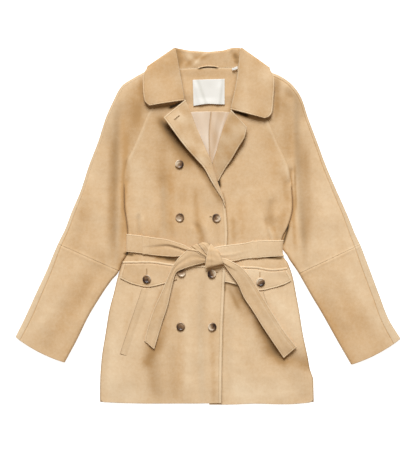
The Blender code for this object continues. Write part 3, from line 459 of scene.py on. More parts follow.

# %% [markdown]
# ## Nap, wear and painted shadows
# Where a fold has been handled, or where the nap has been brushed the other way, suede looks paler and
# greyer, or browner and warmer. Each row of the next table is a soft stripe or cloud, laid like a fold: how
# much paler (+) or browner (-) the nap is there, and how much painted shade it gets. Many rows are painted
# shadows, browner as well as darker: in the hollows of folds, under the lapels, the collar, the belt, its
# tails and the flaps, in the slit between the fronts and in the gap at the sides. A fold's own height adds
# a little of both: its crest is brushed paler, and its hollow gets painted shade.

# %% The table of tones and painted shadows
TONES_AND_SHADOWS = Table(
    "x0 y0 x1 y1 bow width tone shade",
    # wearer's right sleeve
    # on the sleeves, painted light on the folds: darker and greyer in the valleys, warm brown where folds
    # face
    (-213, 270, -215, -72, 2, 9, 0.12, -0.17), (-193, 215, -204, -60, -3, 8, -0.42, 0),
    (-196, 270, -203, 165, 3, 7, -0.1, 0.03), (-160, 330, -168, 240, 5, 17, -0.26, -0.04),
    (-228, 290, -240, 200, 0, 13, 0.12, -0.05), (-240, 120, -250, -40, 0, 16, 0.12, 0),
    (-275, 100, -300, 20, 0, 14, -0.16, 0), (-262, 30, -300, -70, 0, 12, 0.1, 0),
    (-229, -20, -233, -95, 0, 7, 0.15, -0.04), (-350, -160, -410, -250, 0, 16, 0.12, 0),
    (-290, -120, -350, -250, 0, 18, -0.2, 0),
    # wearer's left sleeve
    (207, 300, 228, -66, 5, 8, 0.14, -0.18), (197, 215, 213, -55, 5, 6, -0.1, 0.05),
    (203, 140, 206, 40, 0, 3, -0.3, -0.14), (199, 40, 205, -50, 0, 4.5, -0.4, -0.04),
    (178, 300, 188, 170, -3, 14, -0.22, -0.07), (186, 322, 192, 308, 0, 9, -0.1, -0.1),
    (245, 100, 285, -60, 0, 20, 0.1, 0), (262, 150, 280, 90, 0, 12, -0.14, 0),
    (246, -10, 250, -80, 0, 10, 0.15, -0.04), (300, -120, 360, -240, 0, 20, -0.12, 0),
    (330, -110, 400, -230, 0, 16, 0.16, 0),
    # wearer's right front
    (-104, 205, -112, 105, 0, 14, -0.1, -0.05), (-104, 100, -101, -30, 2, 7, 0.22, -0.06),
    (-88, 130, -84, 0, 0, 9, -0.24, 0), (-172, 160, -160, 20, 0, 20, 0.2, 0),
    (-130, 120, -132, 20, 0, 12, 0.08, 0), (-62, 100, -52, -10, 0, 14, -0.15, 0),
    (-30, 80, -14, -40, 3, 8, -0.2, -0.08), (-163, 30, -161, -14, 0, 4, 0.25, -0.05),
    (-150, 270, -160, 190, 0, 10, 0.12, 0),
    # wearer's left front
    (140, 210, 160, 110, -4, 14, -0.22, 0), (90, 200, 110, 120, 0, 22, 0.12, 0),
    (178, 120, 186, 60, 0, 8, -0.3, -0.05), (182, 40, 168, -10, 0, 10, -0.2, -0.06),
    (146, 22, 158, 14, 0, 13, -0.05, -0.12), (140, -2, 150, -34, 0, 4, 0.2, -0.06),
    (155, 0, 162, -32, 0, 4, -0.3, 0), (75, 60, 80, -20, 0, 10, -0.22, 0), (110, 90, 60, 70, 5, 9, 0.14, 0),
    # from the slit at x 23 on: painted shadows, in the slit between the fronts and under the lapels' and
    # collar's edges
    (58, 20, 60, -36, 0, 6, -0.2, -0.03), (23, 117, 25, 95, 0, 4.6, 0, -1.5),
    (20, 106, 25, 94, 0, 4, 0, -1.2), (-106, 238, -44, 150, 0, 16, -0.25, -0.22),
    (-110, 250, -66, 196, 0, 10, -0.2, -0.4), (-84, 226, -20, 142, 0, 4, 0, -0.35),
    (-24, 148, 30, 60, 0, 7, -0.2, -0.26), (161, 350, 160, 262, 0, 9, -0.3, -0.16),
    (-157, 345, -155, 296, 0, 5, -0.3, -0.1), (-89, 279, -58, 292, 0, 4, 0, -1),
    (-140, 279, -84, 283, 0, 5, 0, -0.25), (60, 270, 92, 261, 0, 4, 0, -1),
    (88, 262, 150, 250, 0, 5, 0, -0.25), (92, 224, 46, 140, 0, 7, -0.15, -0.14),
    # skirt, wearer's right
    (-18, -160, -13, -405, 2, 8, 0.32, -0.05), (9, -235, 14, -405, 0, 7, -0.32, -0.02),
    # the first row here and the first on the next line are the right tail's painted shadow
    (-75, -150, -116, -276, 3, 18, -0.3, -0.05), (-62, -250, -66, -400, 3, 15, -0.22, 0),
    (-126, -280, -146, -322, 0, 13, -0.3, -0.1), (-52, -200, -46, -380, 0, 12, 0.14, 0),
    (-225, -250, -236, -400, 0, 18, 0.2, 0), (-200, -395, -150, -395, 0, 18, 0.2, 0),
    (-176, -150, -196, -270, 0, 8, -0.2, 0), (-106, -150, -112, -190, 0, 12, -0.3, -0.05),
    # skirt, wearer's left
    # from here to the row at x 140 under the belt: painted shadows of the left tail, the flap, the right
    # tail's edge and the belt, and painted shade in the side gap and in a fold
    (60, -155, 160, -312, 5, 20, -0.15, -0.07), (57, -128, 172, -312, 0, 7, -0.2, -0.26),
    (112, -222, 166, -304, 0, 9, -0.25, -0.12), (39, -131.5, 69, -138.5, 0, 2.4, -0.1, -0.5),
    (40, -132, 40.5, -150, 0, 1.8, -0.1, -0.35), (47, -138, 73, -194, 0, 5, -0.14, -0.13),
    (189, 2, 176, -40, 0, 2.6, 0, -0.8), (160, -314, 240, -331, -4, 12, -0.25, -0.1),
    (-80, -96, -152, -262, 4, 3, -0.1, -0.08), (-195, -62, -176, -66, 0, 2.6, 0, -0.85),
    (-118, -72, -60, -78, 0, 5, -0.3, -0.35), (-98, -74, -64, -79, 0, 4, -0.1, -0.45),
    (140, -72, 173, -74, 0, 2.2, 0, -0.85), (85, -200, 95, -330, 6, 16, -0.1, 0),
    (50, -210, 58, -390, 0, 12, 0.12, 0), (70, -388, 215, -388, 0, 24, 0.28, 0),
    (150, -165, 176, -190, 0, 12, 0.22, 0), (196, -150, 216, -260, 0, 12, 0.1, 0),
    (228, -270, 236, -315, 0, 8, -0.15, 0), (20, -160, 22, -400, 0, 6, -0.1, 0))


def soft_tones(table, x, y):
    """The sums of tone * soft_line and of shade * soft_line over a table's rows."""
    lines = [(tone, shade, soft_line(x, y, *line)) for *line, tone, shade in table.rows]
    return sum(tone * amount for tone, _, amount in lines), sum(shade * amount for _, shade, amount in lines)


def toned(x, y, pale):
    """The pale and shade numbers at x, y: the cloth's own tone, the table's tones and painted shadows, the
    folds'.
    """
    fold = folds(FOLDS, x, y)
    tone, shade = soft_tones(TONES_AND_SHADOWS, x, y)
    uneven = 0.9 + 0.15 * waves(x, y, 48, 8) + 0.08 * waves(x, y, 21, 6)
    # far is painted shade, darker towards the collar and towards the wearer's right; fold hollows get painted
    # shade
    far = 0.058 * smooth_step(60, 200, y) + 0.018 * smooth_step(0, -120, x)
    shade = 1 - far + shade * (0.5 + 0.5 * uneven) + 0.045 * np.minimum(fold, 0)
    return pale + tone * uneven + 0.05 * fold, np.clip(shade, 0.05, 1.1)


# %% Layers
WALL, LAPEL_WALL, FLAP_WALL, TRIM_WALL = 1.5, 2.0, 1.4, 1.0
LOOP_WALL, LINING_WALL, LABEL_WALL = 1.2, 0.8, 0.5
SEAM, LIE, THIN, HEEL, FOLD = 0.3, 0.6, 0.35, 1.1, 6.0
BACK_INSET, BELT_INSET = 0.3, 4.5
TOUCH = {"right": -104, "left": -48}
OVERLAP = 0.7
UNDER, LINING_RISE, LAP, UNDERLAP, CROSSING_RISE = 2.1, 1.2, 1.3, 1.2, 3.2
ARMPIT, LAPEL_END = 104, 84
PUFF = 4.2              # mean space between front and back, as the cloth really lies
PUFF_LEAST = 0.6
SLEEVE_BELLY = 1.1
BELT_PRESS = 1.8


def neck_rise(y):
    return UNDER * np.interp(y, (288, 308), (0, 1))


def over_belt(y):
    return np.interp(y, (-85, -72, -15, -2), (0, 1, 1, 0))


def back_rise(x, y):
    """How far the back's underside stands off the floor: over the collar's back fall and over the belt."""
    return np.maximum(neck_rise(y), UNDER * over_belt(y) * (np.abs(x) < 230))


def neck_band(y):
    return smooth_step(250, 305, y)


def belt_band(x, y):
    return smooth_step(60, -8, y) * smooth_step(-150, -80, y) * smooth_step(215, 190, np.abs(x))


def lining_zone(x, y):
    return smooth_step(96, 74, np.abs(x - 8)) * smooth_step(60, 105, y) * smooth_step(345, 300, y)


def belt_press(x, y):
    """The tied belt holds the fronts down: 1 along the belt's line, fading 30 mm above and below it."""
    line = np.interp(x, (-200, -60, 20, 180), (-38, -56, -62, -50))
    return bell(y - line, 26) * smooth_step(205, 180, np.abs(x))


def space(x, y):
    """Room between front and back: puff + folds + fine waves - belt press, never quite closed."""
    room = PUFF + folds(FOLDS, x, y) + 0.35 * waves(x, y, 70, 3) + 0.12 * waves(x, y, 24, 5)
    room = room - BELT_PRESS * belt_press(x, y) - 1.4 * smooth_step(-350, -412, y)
    return PUFF_LEAST + np.log1p(np.exp(1.6 * (room - PUFF_LEAST))) / 1.6


def raglan_line(x, y):
    """Shape across the raglan seam: a groove, with the seam allowance as a low ridge on the body's side."""
    side = np.where(x < 0, SIDE.at("right", y), SIDE.at("left", y))
    inward = (side - x) * np.sign(side) * 0.85
    shape = 0.4 * bell(inward - 4.5, 3) - 0.25 * bell(inward, 1.8)
    return shape * smooth_step(ARMPIT - 4, ARMPIT + 20, y)


def cloth_mean(x, y):
    under = UNDER * np.maximum(neck_band(y), belt_band(x, y)) + LINING_RISE * lining_zone(x, y)
    return 2 * WALL + under + space(x, y)


def front_top(side, x, y):
    """The top of the right front, which laps over, or of the left front, which lies under it."""
    mean = cloth_mean(x, y) + raglan_line(x, y)
    if side == "left":
        return mean - UNDERLAP * smooth_step(72, 46, x)
    crossing = smooth_step(-26, -2, x) * smooth_step(30, 74, y) * smooth_step(205, 160, y)
    return mean + LAP * smooth_step(-66, -22, x) + CROSSING_RISE * crossing


def cloth_top(x, y):
    return cloth_mean(x, y) + LAP * smooth_step(-66, -22, x) * smooth_step(110, 62, x)


def fold_down(top, low, distance, amount):
    """A quarter of an ellipse from top to low over the last FOLD millimetres."""
    return top - amount * (top - low) * (1 - quarter(distance / FOLD))


# %% [markdown]
# ## A shell with soft edges
# A cut piece of suede is a wall of even thickness whose edges are turned in and rounded. shell() takes the
# outer skin as a grid of points. It finds the normal at each point from the grid's two directions, and puts
# two skins half a wall either side of the middle surface. Near the border the half wall shrinks along a
# quarter circle to nothing, so both skins meet there and the piece is closed without a rim. A line of
# stitching pulls the wall thinner along a groove a few millimetres inside the border.

# %% Grids
EDGE_NEAR = (0, 0.2, 0.5, 0.9, 1.5, 2.4)
FOLD_NEAR = (0, 0.25, 0.7, 1.4, 2.3, 3.4, 4.8, 6.4)


def hem(inset):
    """Distances from a border that show its rounding and a stitch groove at inset."""
    return (0, 0.2, 0.5, 0.9, inset / 2, inset - 1, inset - 0.5, inset, inset + 0.5, inset + 1, inset + 2.2)


def stops(length, pitch, near=EDGE_NEAR, far=None):
    """Distances from 0 to length: near's at the start, far's mirrored at the end, even steps between."""
    length = np.asarray(length, float)[..., None]
    near = np.array(near)
    far = near if far is None else np.array(far)
    shrink = np.minimum(1, 0.45 * length / max(near[-1], far[-1]))
    first = near * shrink
    last = length - far[::-1] * shrink
    count = max(2, round((float(length.mean()) - near[-1] - far[-1]) / pitch))
    share = np.linspace(0, 1, count + 1)[1:-1]
    between = first[..., -1:] + (last[..., :1] - first[..., -1:]) * share
    return np.concatenate([first, between, last], axis=-1)


def reach(points, axis):
    """Distance along the grid's lines from their start."""
    step = np.linalg.norm(np.diff(points, axis=axis), axis=-1)
    start = np.zeros_like(np.take(step, [0], axis=axis))
    return np.concatenate([start, np.cumsum(step, axis=axis)], axis=axis)


def border_distances(points):
    """Distance of each point from each of the four borders, along the grid."""
    down, across = reach(points, 0), reach(points, 1)
    return {"first": down, "last": down[-1:] - down, "start": across, "end": across[:, -1:] - across}


def grid_normals(points, up, at):
    """Unit cross product of the grid's two directions, and whether it was turned over to look up or down."""
    normal = np.cross(np.gradient(points, axis=1), np.gradient(points, axis=0))
    normal /= np.maximum(np.linalg.norm(normal, axis=-1, keepdims=True), 1e-9)
    place = at or (len(points) // 2, points.shape[1] // 2)
    turned = (normal[place][2] > 0) != up
    return (-normal if turned else normal), turned


def stretched(place, length, real, near, far):
    """Places along a nominal length, moved to a real one; only what is between near and far is stretched."""
    middle = near + (place - near) * (real - near - far) / (length - near - far)
    return np.where(place < near, place, np.where(length - place < far, real - (length - place), middle))


def quads(index):
    """The four corners of each cell of a grid of point numbers, going round from row to column."""
    return np.stack([index[:-1, :-1], index[:-1, 1:], index[1:, 1:], index[1:, :-1]], axis=-1).reshape(-1, 4)


def grid(x, y, z):
    return np.stack(np.broadcast_arrays(x, y, z), axis=-1).astype(float)


# %% Shells
PIECES = {}
SEAMS = {}              # the top skin, its normals and border distances, for what lies or is sewn on it
RIM, JOINED_RIM = 1.1, 0.4


def make_piece(name, points, faces, material, pale=0.5, shade=1.0):
    """Puts points (n x 3, in mm) and faces into a mesh object with the two tone attributes."""
    mesh = bpy.data.meshes.new(name)
    mesh.from_pydata((points * MM).tolist(), [], faces)
    for label, values in (("pale", pale), ("shade", shade)):
        layer = mesh.attributes.new(label, "FLOAT", "POINT")
        layer.data.foreach_set("value", np.broadcast_to(values, len(points)).astype(np.float32))
    mesh.materials.append(material)
    mesh.shade_smooth()
    PIECES[name] = put(name, mesh)


def shell(name, skin, wall, material, pale=0.5, shade=1.0, up=True, at=None, sewn=(), joined=(), inset=4.0,
          groove=0.4, dim=0.16):
    """Closed wall under an outer skin, rounded to nothing at its borders, thinner along a sewn line."""
    normal, turned = grid_normals(skin, up, at)
    away = border_distances(skin)
    edge = np.minimum.reduce(list(away.values()))
    rim = np.minimum.reduce([away[border] / (JOINED_RIM if border in joined else RIM) for border in away])
    half = wall / 2 * quarter(rim)
    # painted shade at the very border, a pale rim along it that is partly worn nap and partly painted sheen,
    # and all painted shade made browner as well, as shadow looks on suede
    shade = shade - 0.1 * bell(edge, 0.7)
    pale = pale + 0.24 * bell(edge, 0.8) + 0.9 * np.minimum(shade - 1, 0)
    if sewn:
        line = np.minimum.reduce([away[border] for border in sewn])
        pull = bell(line - inset, 0.55)
        half = half + 0.2 * bell(line - inset / 2, inset / 3) * (edge > 0.3) - groove * pull
        # painted shade in the stitch groove, and a painted highlight on the raised margin outside it
        shade = shade - dim * pull
        pale = pale + 0.24 * smooth_step(inset, inset - 1.5, line)
    middle = skin - normal * wall / 2
    top = middle + normal * half[..., None]
    low = middle - normal * half[..., None]
    index = np.arange(edge.size).reshape(edge.shape)
    inner = np.zeros(edge.shape, bool)
    inner[1:-1, 1:-1] = True
    low_index = index.copy()
    low_index[inner] = edge.size + np.arange(inner.sum())
    faces = np.concatenate([quads(index), quads(low_index)[:, ::-1]])[:, ::-1 if turned else 1]
    points = np.concatenate([top.reshape(-1, 3), low[inner]])
    tones = [np.concatenate([tone.ravel(), tone[inner]]) for tone in (pale, shade)]
    make_piece(name, points, faces.tolist(), material, *tones)
    SEAMS[name] = top, normal, away


def turned_piece(name, points, columns, material, pale=0.5, shade=1.0):
    """Rings of so many points, from the top one down, closed by fans round the last two points given."""
    index = np.arange(len(points) - 2).reshape(-1, columns)
    index = np.hstack([index, index[:, :1]])
    top, low = np.full(columns, len(points) - 2), np.full(columns, len(points) - 1)
    fans = ((index[0, :-1], index[0, 1:], top), (index[-1, 1:], index[-1, :-1], low))
    faces = quads(index)[:, ::-1].tolist()
    for fan in fans:
        faces += np.stack(fan, axis=-1).tolist()
    make_piece(name, points, faces, material, pale, shade)


def ruled(table, place, pitch, near):
    """Straight lines from a strip's left edge to its right one: x, y, distance, and share of the line."""
    left, right = table.pair("left_x left_y", place), table.pair("right_x right_y", place)
    distance = stops(np.linalg.norm(right - left, axis=-1), pitch, near)
    share = distance / distance[:, -1:]
    at = left[:, None] + (right - left)[:, None] * share[..., None]
    return at[..., 0], at[..., 1], distance, share


def level_rows(table, y, pitch, near=EDGE_NEAR):
    """x from the table's left_x to its right_x, in a row for each y."""
    left = table.at("left_x", y)
    return left[:, None] + stops(table.at("right_x", y) - left, pitch, near)


def rows_of(table, pitch, near=EDGE_NEAR, far=None, turn=0):
    """Row places of an outline table, evenly spaced along its middle line and closer at its ends."""
    fine = np.linspace(0, table.last(), 60 * table.last() + 1)
    names = table.columns
    middle = (table.pair(" ".join(names[:2]), fine) + table.pair(" ".join(names[2:4]), fine)) / 2
    step = np.linalg.norm(np.diff(middle, axis=0), axis=1)
    if turn:
        step = step + turn * np.abs(np.diff(np.radians(table.by_row("face", fine))))
    run = np.concatenate([[0], np.cumsum(step)])
    return np.interp(stops(run[-1], pitch, near, far), run, fine)


# %% [markdown]
# ## The body
# The back is one piece from the neck to the hem. It lies on the floor, and climbs over the collar's back
# fall and over the belt, which pass under it. Each front is cut across at the waist, where a strip of
# piping covers the seam. Under the armpit the front is folded down to the back at its side. The right
# front's edge is stitched 7 mm inside. A panel is ruled across from its outer line to its inner one, and
# its height is read from the folds.

# %% Back
HEM_NEAR = hem(8)
BACK_TOP, BACK_LOW = 364, -411


def back():
    """Rows across, 7 mm apart; the underside is flat where it rests, and soft hollows stay off the floor."""
    y = BACK_TOP - stops(BACK_TOP - BACK_LOW, 7)[:, None]
    inset = np.where(y > ARMPIT, SEAM / 2, BACK_INSET) + BELT_INSET * over_belt(y)
    right, left = SIDE.at("right", y) + inset, SIDE.at("left", y) - inset
    x = right + stops((left - right)[:, 0], 7)
    hollow = 0.9 * smooth_step(0.3, 1.0, waves(x, y * 0.35, 90, 11)) * smooth_step(300, 270, y)
    clear = smooth_step(0, 40, np.minimum(x - right, left - x)) * (1 - over_belt(y))
    shell("back_panel", grid(x, y, back_rise(x, y) + hollow * clear), WALL, SUEDE, 0.5, up=False)


back()


# %% Fronts
LAPEL_CLEAR = 3.8
PANEL_TONE = 0.05
PANEL_WIDTH, PANEL_ENDS, BEND = 215.0, 20.0, 80


def front_panel(name, side, first_y, last_y, pale, joined, sewn, first_line=None, last_line=None):
    """Rows from first_y down to last_y; near a seam they bend until they follow its line across the coat."""
    out = sign(side)
    level = first_y - stops(first_y - last_y, 2.6)
    place = stops(PANEL_WIDTH, 2.5, FOLD_NEAR, HEM_NEAR)
    level_y = level[:, None] + 0 * place
    y = level_y
    for _ in range(3):
        outer = SIDE.at(side, y) - out * SEAM / 2
        inner = EDGE.at(side, y) + out * LAPEL_CLEAR * smooth_step(LAPEL_END - 4, LAPEL_END + 4, y)
        width = np.abs(inner - outer)
        x = outer - out * stretched(place, PANEL_WIDTH, width, PANEL_ENDS, PANEL_ENDS)
        y = level_y
        for line, mean, start in (
                (first_line, first_y, first_y - BEND), (last_line, last_y, last_y + BEND)):
            if line is not None:
                y = y + (line(x) - mean) * smooth_step(start, mean, level_y)
    top = front_top(side, x, y)
    low = back_rise(x, y) + WALL + HEEL
    folded = smooth_step(ARMPIT, LAPEL_END, y)
    z = fold_down(top, low, np.abs(x - outer), folded)
    # 0.5 * raglan_line paints a highlight on the seam allowance's ridge and shade in the raglan groove
    pale, shade = toned(x, y, pale + PANEL_TONE * waves(x, y, 260, 7) + 0.5 * raglan_line(x, y))
    # painted shade where the front folds down at its side, and on the left front the painted shadow of the
    # right front's edge
    shade = shade - 0.35 * smooth_step(4.5, 0, np.abs(x - outer)) * folded
    if side == "left":
        edge_shadow = bell(x - EDGE.at("right", y) - 1.0, 1.8)
        shade = shade - 0.3 * edge_shadow * smooth_step(LAPEL_END, LAPEL_END - 8, y)
    shell(name, grid(x, y, z), WALL, SUEDE, pale, shade, sewn=sewn, inset=7.0, joined=joined, groove=0.3,
          dim=0.1)


for side in SIDES:
    sewn = ("end",) if side == "right" else ()
    front_panel(f"front_{side}_above_waist", side, NECK_TOP, WAIST_MEAN + SEAM / 2, pale=0.42,
                last_line=lambda x: WAIST.at("y", x) + SEAM / 2, joined=("start", "last"), sewn=sewn)
    front_panel(f"front_{side}_below_waist", side, WAIST_MEAN - SEAM / 2, HEM_MEAN, pale=0.62,
                first_line=lambda x: WAIST.at("y", x) - SEAM / 2,
                last_line=lambda x, side=side: HEM[side].at("y", x), joined=("start", "first"), sewn=sewn)
print("fronts", [len(PIECES[n].data.polygons) for n in PIECES])


# %% [markdown]
# ## Sleeves
# A raglan sleeve runs up to the neck. It has a front and a back, each cut across at the elbow. The back
# wraps round the outer edge, so that the seam between them lies a little inside it, and the front is folded
# down to the back under the arm. A row of the sleeve is a straight line from its outer edge to its inner
# one.

# %% Sleeves
def overarm_shown(side, y):
    """How far the overarm seam shows: all along on the left sleeve, fading in down the right one."""
    return smooth_step(150, -30, y) if side == "right" else 1 + 0 * y


def sleeve_seam_line(distance, along_elbow, shown):
    """A groove at the overarm seam and at the elbow seam, each with a low ridge beside it."""
    overarm = (0.25 * bell(distance - 4, 2.6) - 0.12 * bell(distance, 1.6)) * shown
    elbow = 0.5 * bell(along_elbow - 4, 2.6) - 0.35 * bell(along_elbow, 1.6)
    return overarm + elbow


def sleeve_part(side, part, pitch=2.4):
    """Front and back skins of the upper or lower half of a sleeve."""
    out = sign(side)
    table = SLEEVES[side]
    elbow = ELBOW[side]
    first_y, last_y = (SLEEVE_TOP[side], elbow) if part == "upper" else (elbow, CUFF[side])
    far = EDGE_NEAR if part == "upper" else hem(5)
    y = first_y - stops(first_y - last_y, pitch, EDGE_NEAR, far)
    seam_x = SIDE.at(side, y) + out * (SEAM / 2 - OVERLAP)
    touch = smooth_step(TOUCH[side] - 22, TOUCH[side] + 6, y)
    inner = np.stack([table.at("inner", y) + (seam_x - table.at("inner", y)) * touch, y], axis=-1)
    outer = np.stack([table.at("outer", y), table.at("outer_y", y)], axis=-1)
    width = np.linalg.norm(inner - outer, axis=-1)
    across = (inner - outer) / width[:, None]
    along = np.stack([-across[:, 1], across[:, 0]], axis=-1) * out
    seam = table.at("seam", y)
    folded = smooth_step(ARMPIT, LAPEL_END, y)[:, None]
    from_elbow = (np.abs(y - elbow) * 0.9)[:, None]
    bow = CUFF_BOW * smooth_step(CUFF[side] + 60, CUFF[side], y) if part == "lower" else 0 * y
    shift = OVERLAP / 3 * smooth_step(8, 0, np.abs(y - elbow)) * (-1 if part == "upper" else 1)

    def place(distance):
        share = distance / width[:, None]
        lift = (bow[:, None] * 4 * share * (1 - share))[..., None] * along[:, None]
        at = outer[:, None] + across[:, None] * distance[..., None] + lift
        return at[..., 0], at[..., 1] + shift[:, None]

    def top(x, y_, distance):
        belly = SLEEVE_BELLY * smooth_step(ARMPIT, 40, y)[:, None]
        round_ = 2.4 * (1 - np.clip(1 - distance / 22, 0, 1) ** 2) - 2.4
        lines = sleeve_seam_line(distance - seam[:, None], from_elbow if part == "lower" else from_elbow + 4,
                                 overarm_shown(side, y_))
        return 2 * WALL + UNDER * neck_band(y_) + space(x, y_) + belly + raglan_line(x, y_) * (
            y_ > ARMPIT) + lines + round_

    distance = (seam - SEAM)[:, None] + stops(width - seam + SEAM, pitch, EDGE_NEAR, FOLD_NEAR)
    from_inner, from_seam = width[:, None] - distance, distance - seam[:, None]
    x, y_ = place(distance)
    z = fold_down(top(x, y_, distance), WALL + HEEL + neck_rise(y_), from_inner, folded)
    tone, underarm_shade, underarm_shade_width = SLEEVE_TONES[f"{side} {part}"]
    under_arm = smooth_step(ARMPIT + 60, ARMPIT, y)[:, None]
    pale = tone + PANEL_TONE * waves(x, y_, 260, 9) + 0.16 * bell(from_seam, 26)
    # painted shade: browner under the arm, and darker along the inner edge where the sleeve meets the body
    pale, shade = toned(x, y_, pale - underarm_shade * bell(from_inner, underarm_shade_width) * under_arm)
    pale = pale - 0.6 * bell(from_seam, 1.3) * overarm_shown(side, y_)
    near_body = smooth_step(TOUCH[side] - 10, TOUCH[side] + 20, y)[:, None] * under_arm
    shade = shade - 0.12 * bell(from_inner, 4) * near_body
    joined = ("first", "start", "end") + (("last",) if part == "upper" else ())
    shell(f"sleeve_{side}_front_{part}", grid(x, y_, z), WALL, SUEDE, pale, shade, joined=joined)

    turn = np.radians(np.linspace(90, -90, 15))[1:]
    top_run = (seam - SEAM / 2)[:, None] - stops(seam - SEAM / 2 - FOLD, 1.5, (0, 0.2, 0.5), (0, 0.2))
    edge_run = FOLD * (1 - np.cos(turn)) + np.zeros((len(y), 1))
    reach_in = np.where(folded > 0, width[:, None] - 0.3, width[:, None])
    under = FOLD + (reach_in - FOLD) * np.linspace(0, 1, max(3, int(width.mean() / 6)) + 1)[1:]
    distance = np.hstack([top_run, edge_run, under])
    share = np.hstack([np.ones(top_run.shape), (1 + np.sin(turn)) / 2 + 0 * edge_run, 0 * under])
    x, y_ = place(distance)
    low = neck_rise(y_)
    high = top(x, y_, np.maximum(distance, 0.1))
    # the back's strip is painted greyer and a little darker, and its rolled outer edge gets more painted
    # shade, standing in for how the light falls on these tilted faces
    rounding = smooth_step(1, 0.75, share)
    pale = np.where(share > 0.4, 0.64 + 0.24 * smooth_step(150, -30, y_), 0.4) + 0.3 * rounding
    shell(f"sleeve_{side}_back_{part}", grid(x, y_, low + (high - low) * share), WALL, SUEDE, pale,
          0.91 - 0.22 * rounding, up=False, at=(len(y) // 2, distance.shape[1] - 2), joined=joined)


for side in SIDES:
    for part in ("upper", "lower"):
        sleeve_part(side, part)
print("sleeves", [len(PIECES[n].data.polygons) for n in PIECES if n.startswith("sleeve")])


# %% [markdown]
# ## Neck
# Between the collar's two falls the inside shows: the suede stand that holds the collar up, the facing at
# the back neck with a bare satin label and a hanging loop, a small white size tape, and the satin lining
# with its centre pleat. The stand leans up and back, and a few slack folds cross it.

# %% Neck pieces
STAND = Table(
    "x low high",
    (-79, 368, 421), (-66, 369, 418), (-36, 371.5, 413), (0, 372, 411.3), (34, 372.5, 414),
    (62, 372.5, 420.5), (76, 370, 420))
FACING = Table(
    "y left_x right_x",
    (370.5, -74, 76), (340, -68, 71), (308, -60, 64), (288, -50, 58), (270, -43, 53))
LINING_EDGE = Table(
    "y left_x right_x",
    (269.4, -46, 55), (235, -33, 42), (203, -19, 32), (177, -8, 25), (155, 0, 18), (125, 4, 12))
PLEAT = Table("y x", (269.4, 6), (214, 2), (177, 3), (125, 7))
LABEL = Table("y left_x right_x", (346, -36, 39), (318, -35, 39), (286, -34, 39))
HANGER = Table("x y", (-24, 372), (-14, 375.2), (0, 377), (14, 376.4), (25, 374.2))
TAB = Table("x low high", (56, 366, 371.5), (62, 367, 373), (69, 369.5, 376))
STAND_LOW, STAND_HIGH, STAND_ROLLED, FACING_RISE = 6.4, 10.4, 4.6, 1.55
STAND_FOLDS = Table(
    "x0 y0 x1 y1 bow width height",
    (5, 411, -24, 382, 3, 6, 0.7), (-8, 409, -34, 386, 3, 8, -0.7), (-66, 412, -52, 388, -2, 7, -1.4),
    (-60, 400, -30, 378, -3, 7, 0.9), (58, 414, 66, 394, 3, 6, -1.5), (48, 412, 42, 388, 2, 6, 0.9),
    (30, 410, 40, 384, 0, 9, -0.6))
# rows of nap tone and painted shade; the last row is the painted shadow of the hanging loop
STAND_TONES_AND_SHADOWS = Table(
    "x0 y0 x1 y1 bow width tone shade",
    (-76, 418, -66, 384, -2, 9, -0.3, -0.22), (-48, 405, -20, 384, 3, 7, 0.3, 0),
    (6, 411, -30, 384, 4, 3, 0.3, 0.02), (-4, 400, -50, 380, 4, 6, -0.3, -0.06),
    (63, 404, 68, 386, 0, 6, -0.3, -0.35), (50, 404, 30, 384, 0, 9, 0.15, 0),
    (-22, 370.2, 22, 371.8, -3.4, 1.7, -0.3, -0.85))
FACING_TOP, LINING_TOP, LABEL_TOP = 370.3, 270.5, 346
PLEAT_NEAR, SATIN_NEAR = (0, 0.25, 0.6, 1.2), (0, 0.5, 1.2)
RIBBON_NEAR, LABEL_NEAR = (0, 0.3, 0.8), (0, 0.3, 0.8, 1.6, 2.0, 2.4, 3.4)
NECK_OPENING = Table(
    "y left_x right_x",
    (416, -74, 74), (360, -64.5, 68.5), (296, -53.5, 56), (270, -49, 51))


def beside_collar(x, y):
    """1 along the collar's roll lines, fading to 0 over the first millimetres inside: where its shadow is
    painted.
    """
    inside = np.minimum(x - NECK_OPENING.at("left_x", y), NECK_OPENING.at("right_x", y) - x)
    return smooth_step(6.5, 0.5, inside)


def on_back(x, y):
    """The face of a thin piece that lies on the inside of the back."""
    return back_rise(x, y) + WALL + THIN + TRIM_WALL


def sagging(x, y, start):
    """Rows that bow down by 2 * ((x - 4) / 50) ** 2, which fades in from start down to y = 270."""
    return y[:, None] + 0 * x - 2.0 * ((x - 4) / 50) ** 2 * smooth_step(start, 270, y)[:, None]


def stand():
    """Straight lines up from the neck seam, leaning back, and turned down at the roll line."""
    x = STAND.rows[0, 0] + stops(155, 1.8)
    low = STAND.at("low", x) + 0.3
    rise = stops(STAND.at("high", x) - low, 1.8, EDGE_NEAR, FOLD_NEAR)
    y = low[:, None] + rise
    share = rise / rise[:, -1:]
    from_roll = rise[:, -1:] - rise
    x = x[:, None] + 0 * y
    crest = STAND_HIGH - 2.2 * smooth_step(52, 74, np.abs(x))
    z = STAND_LOW + (crest - STAND_LOW) * share + folds(STAND_FOLDS, x, y) * hump(share) ** 0.5
    tone, shade = soft_tones(STAND_TONES_AND_SHADOWS, x, y)
    seam = smooth_step(2.6, 0.6, rise)
    # painted shade from the table, at the roll line and in the collar's shadow; a painted highlight on the
    # neck seam
    shade = np.clip(0.97 + shade, 0.1, 1.1) - 0.3 * smooth_step(3.5, 0, from_roll)
    shade = shade - 0.06 * beside_collar(x, y) + 0.04 * seam
    shell("stand_inside", grid(x, y, fold_down(z, STAND_ROLLED, from_roll, 1)), LAPEL_WALL, SUEDE,
          0.36 + tone + 0.4 * seam, shade, joined=("first",))


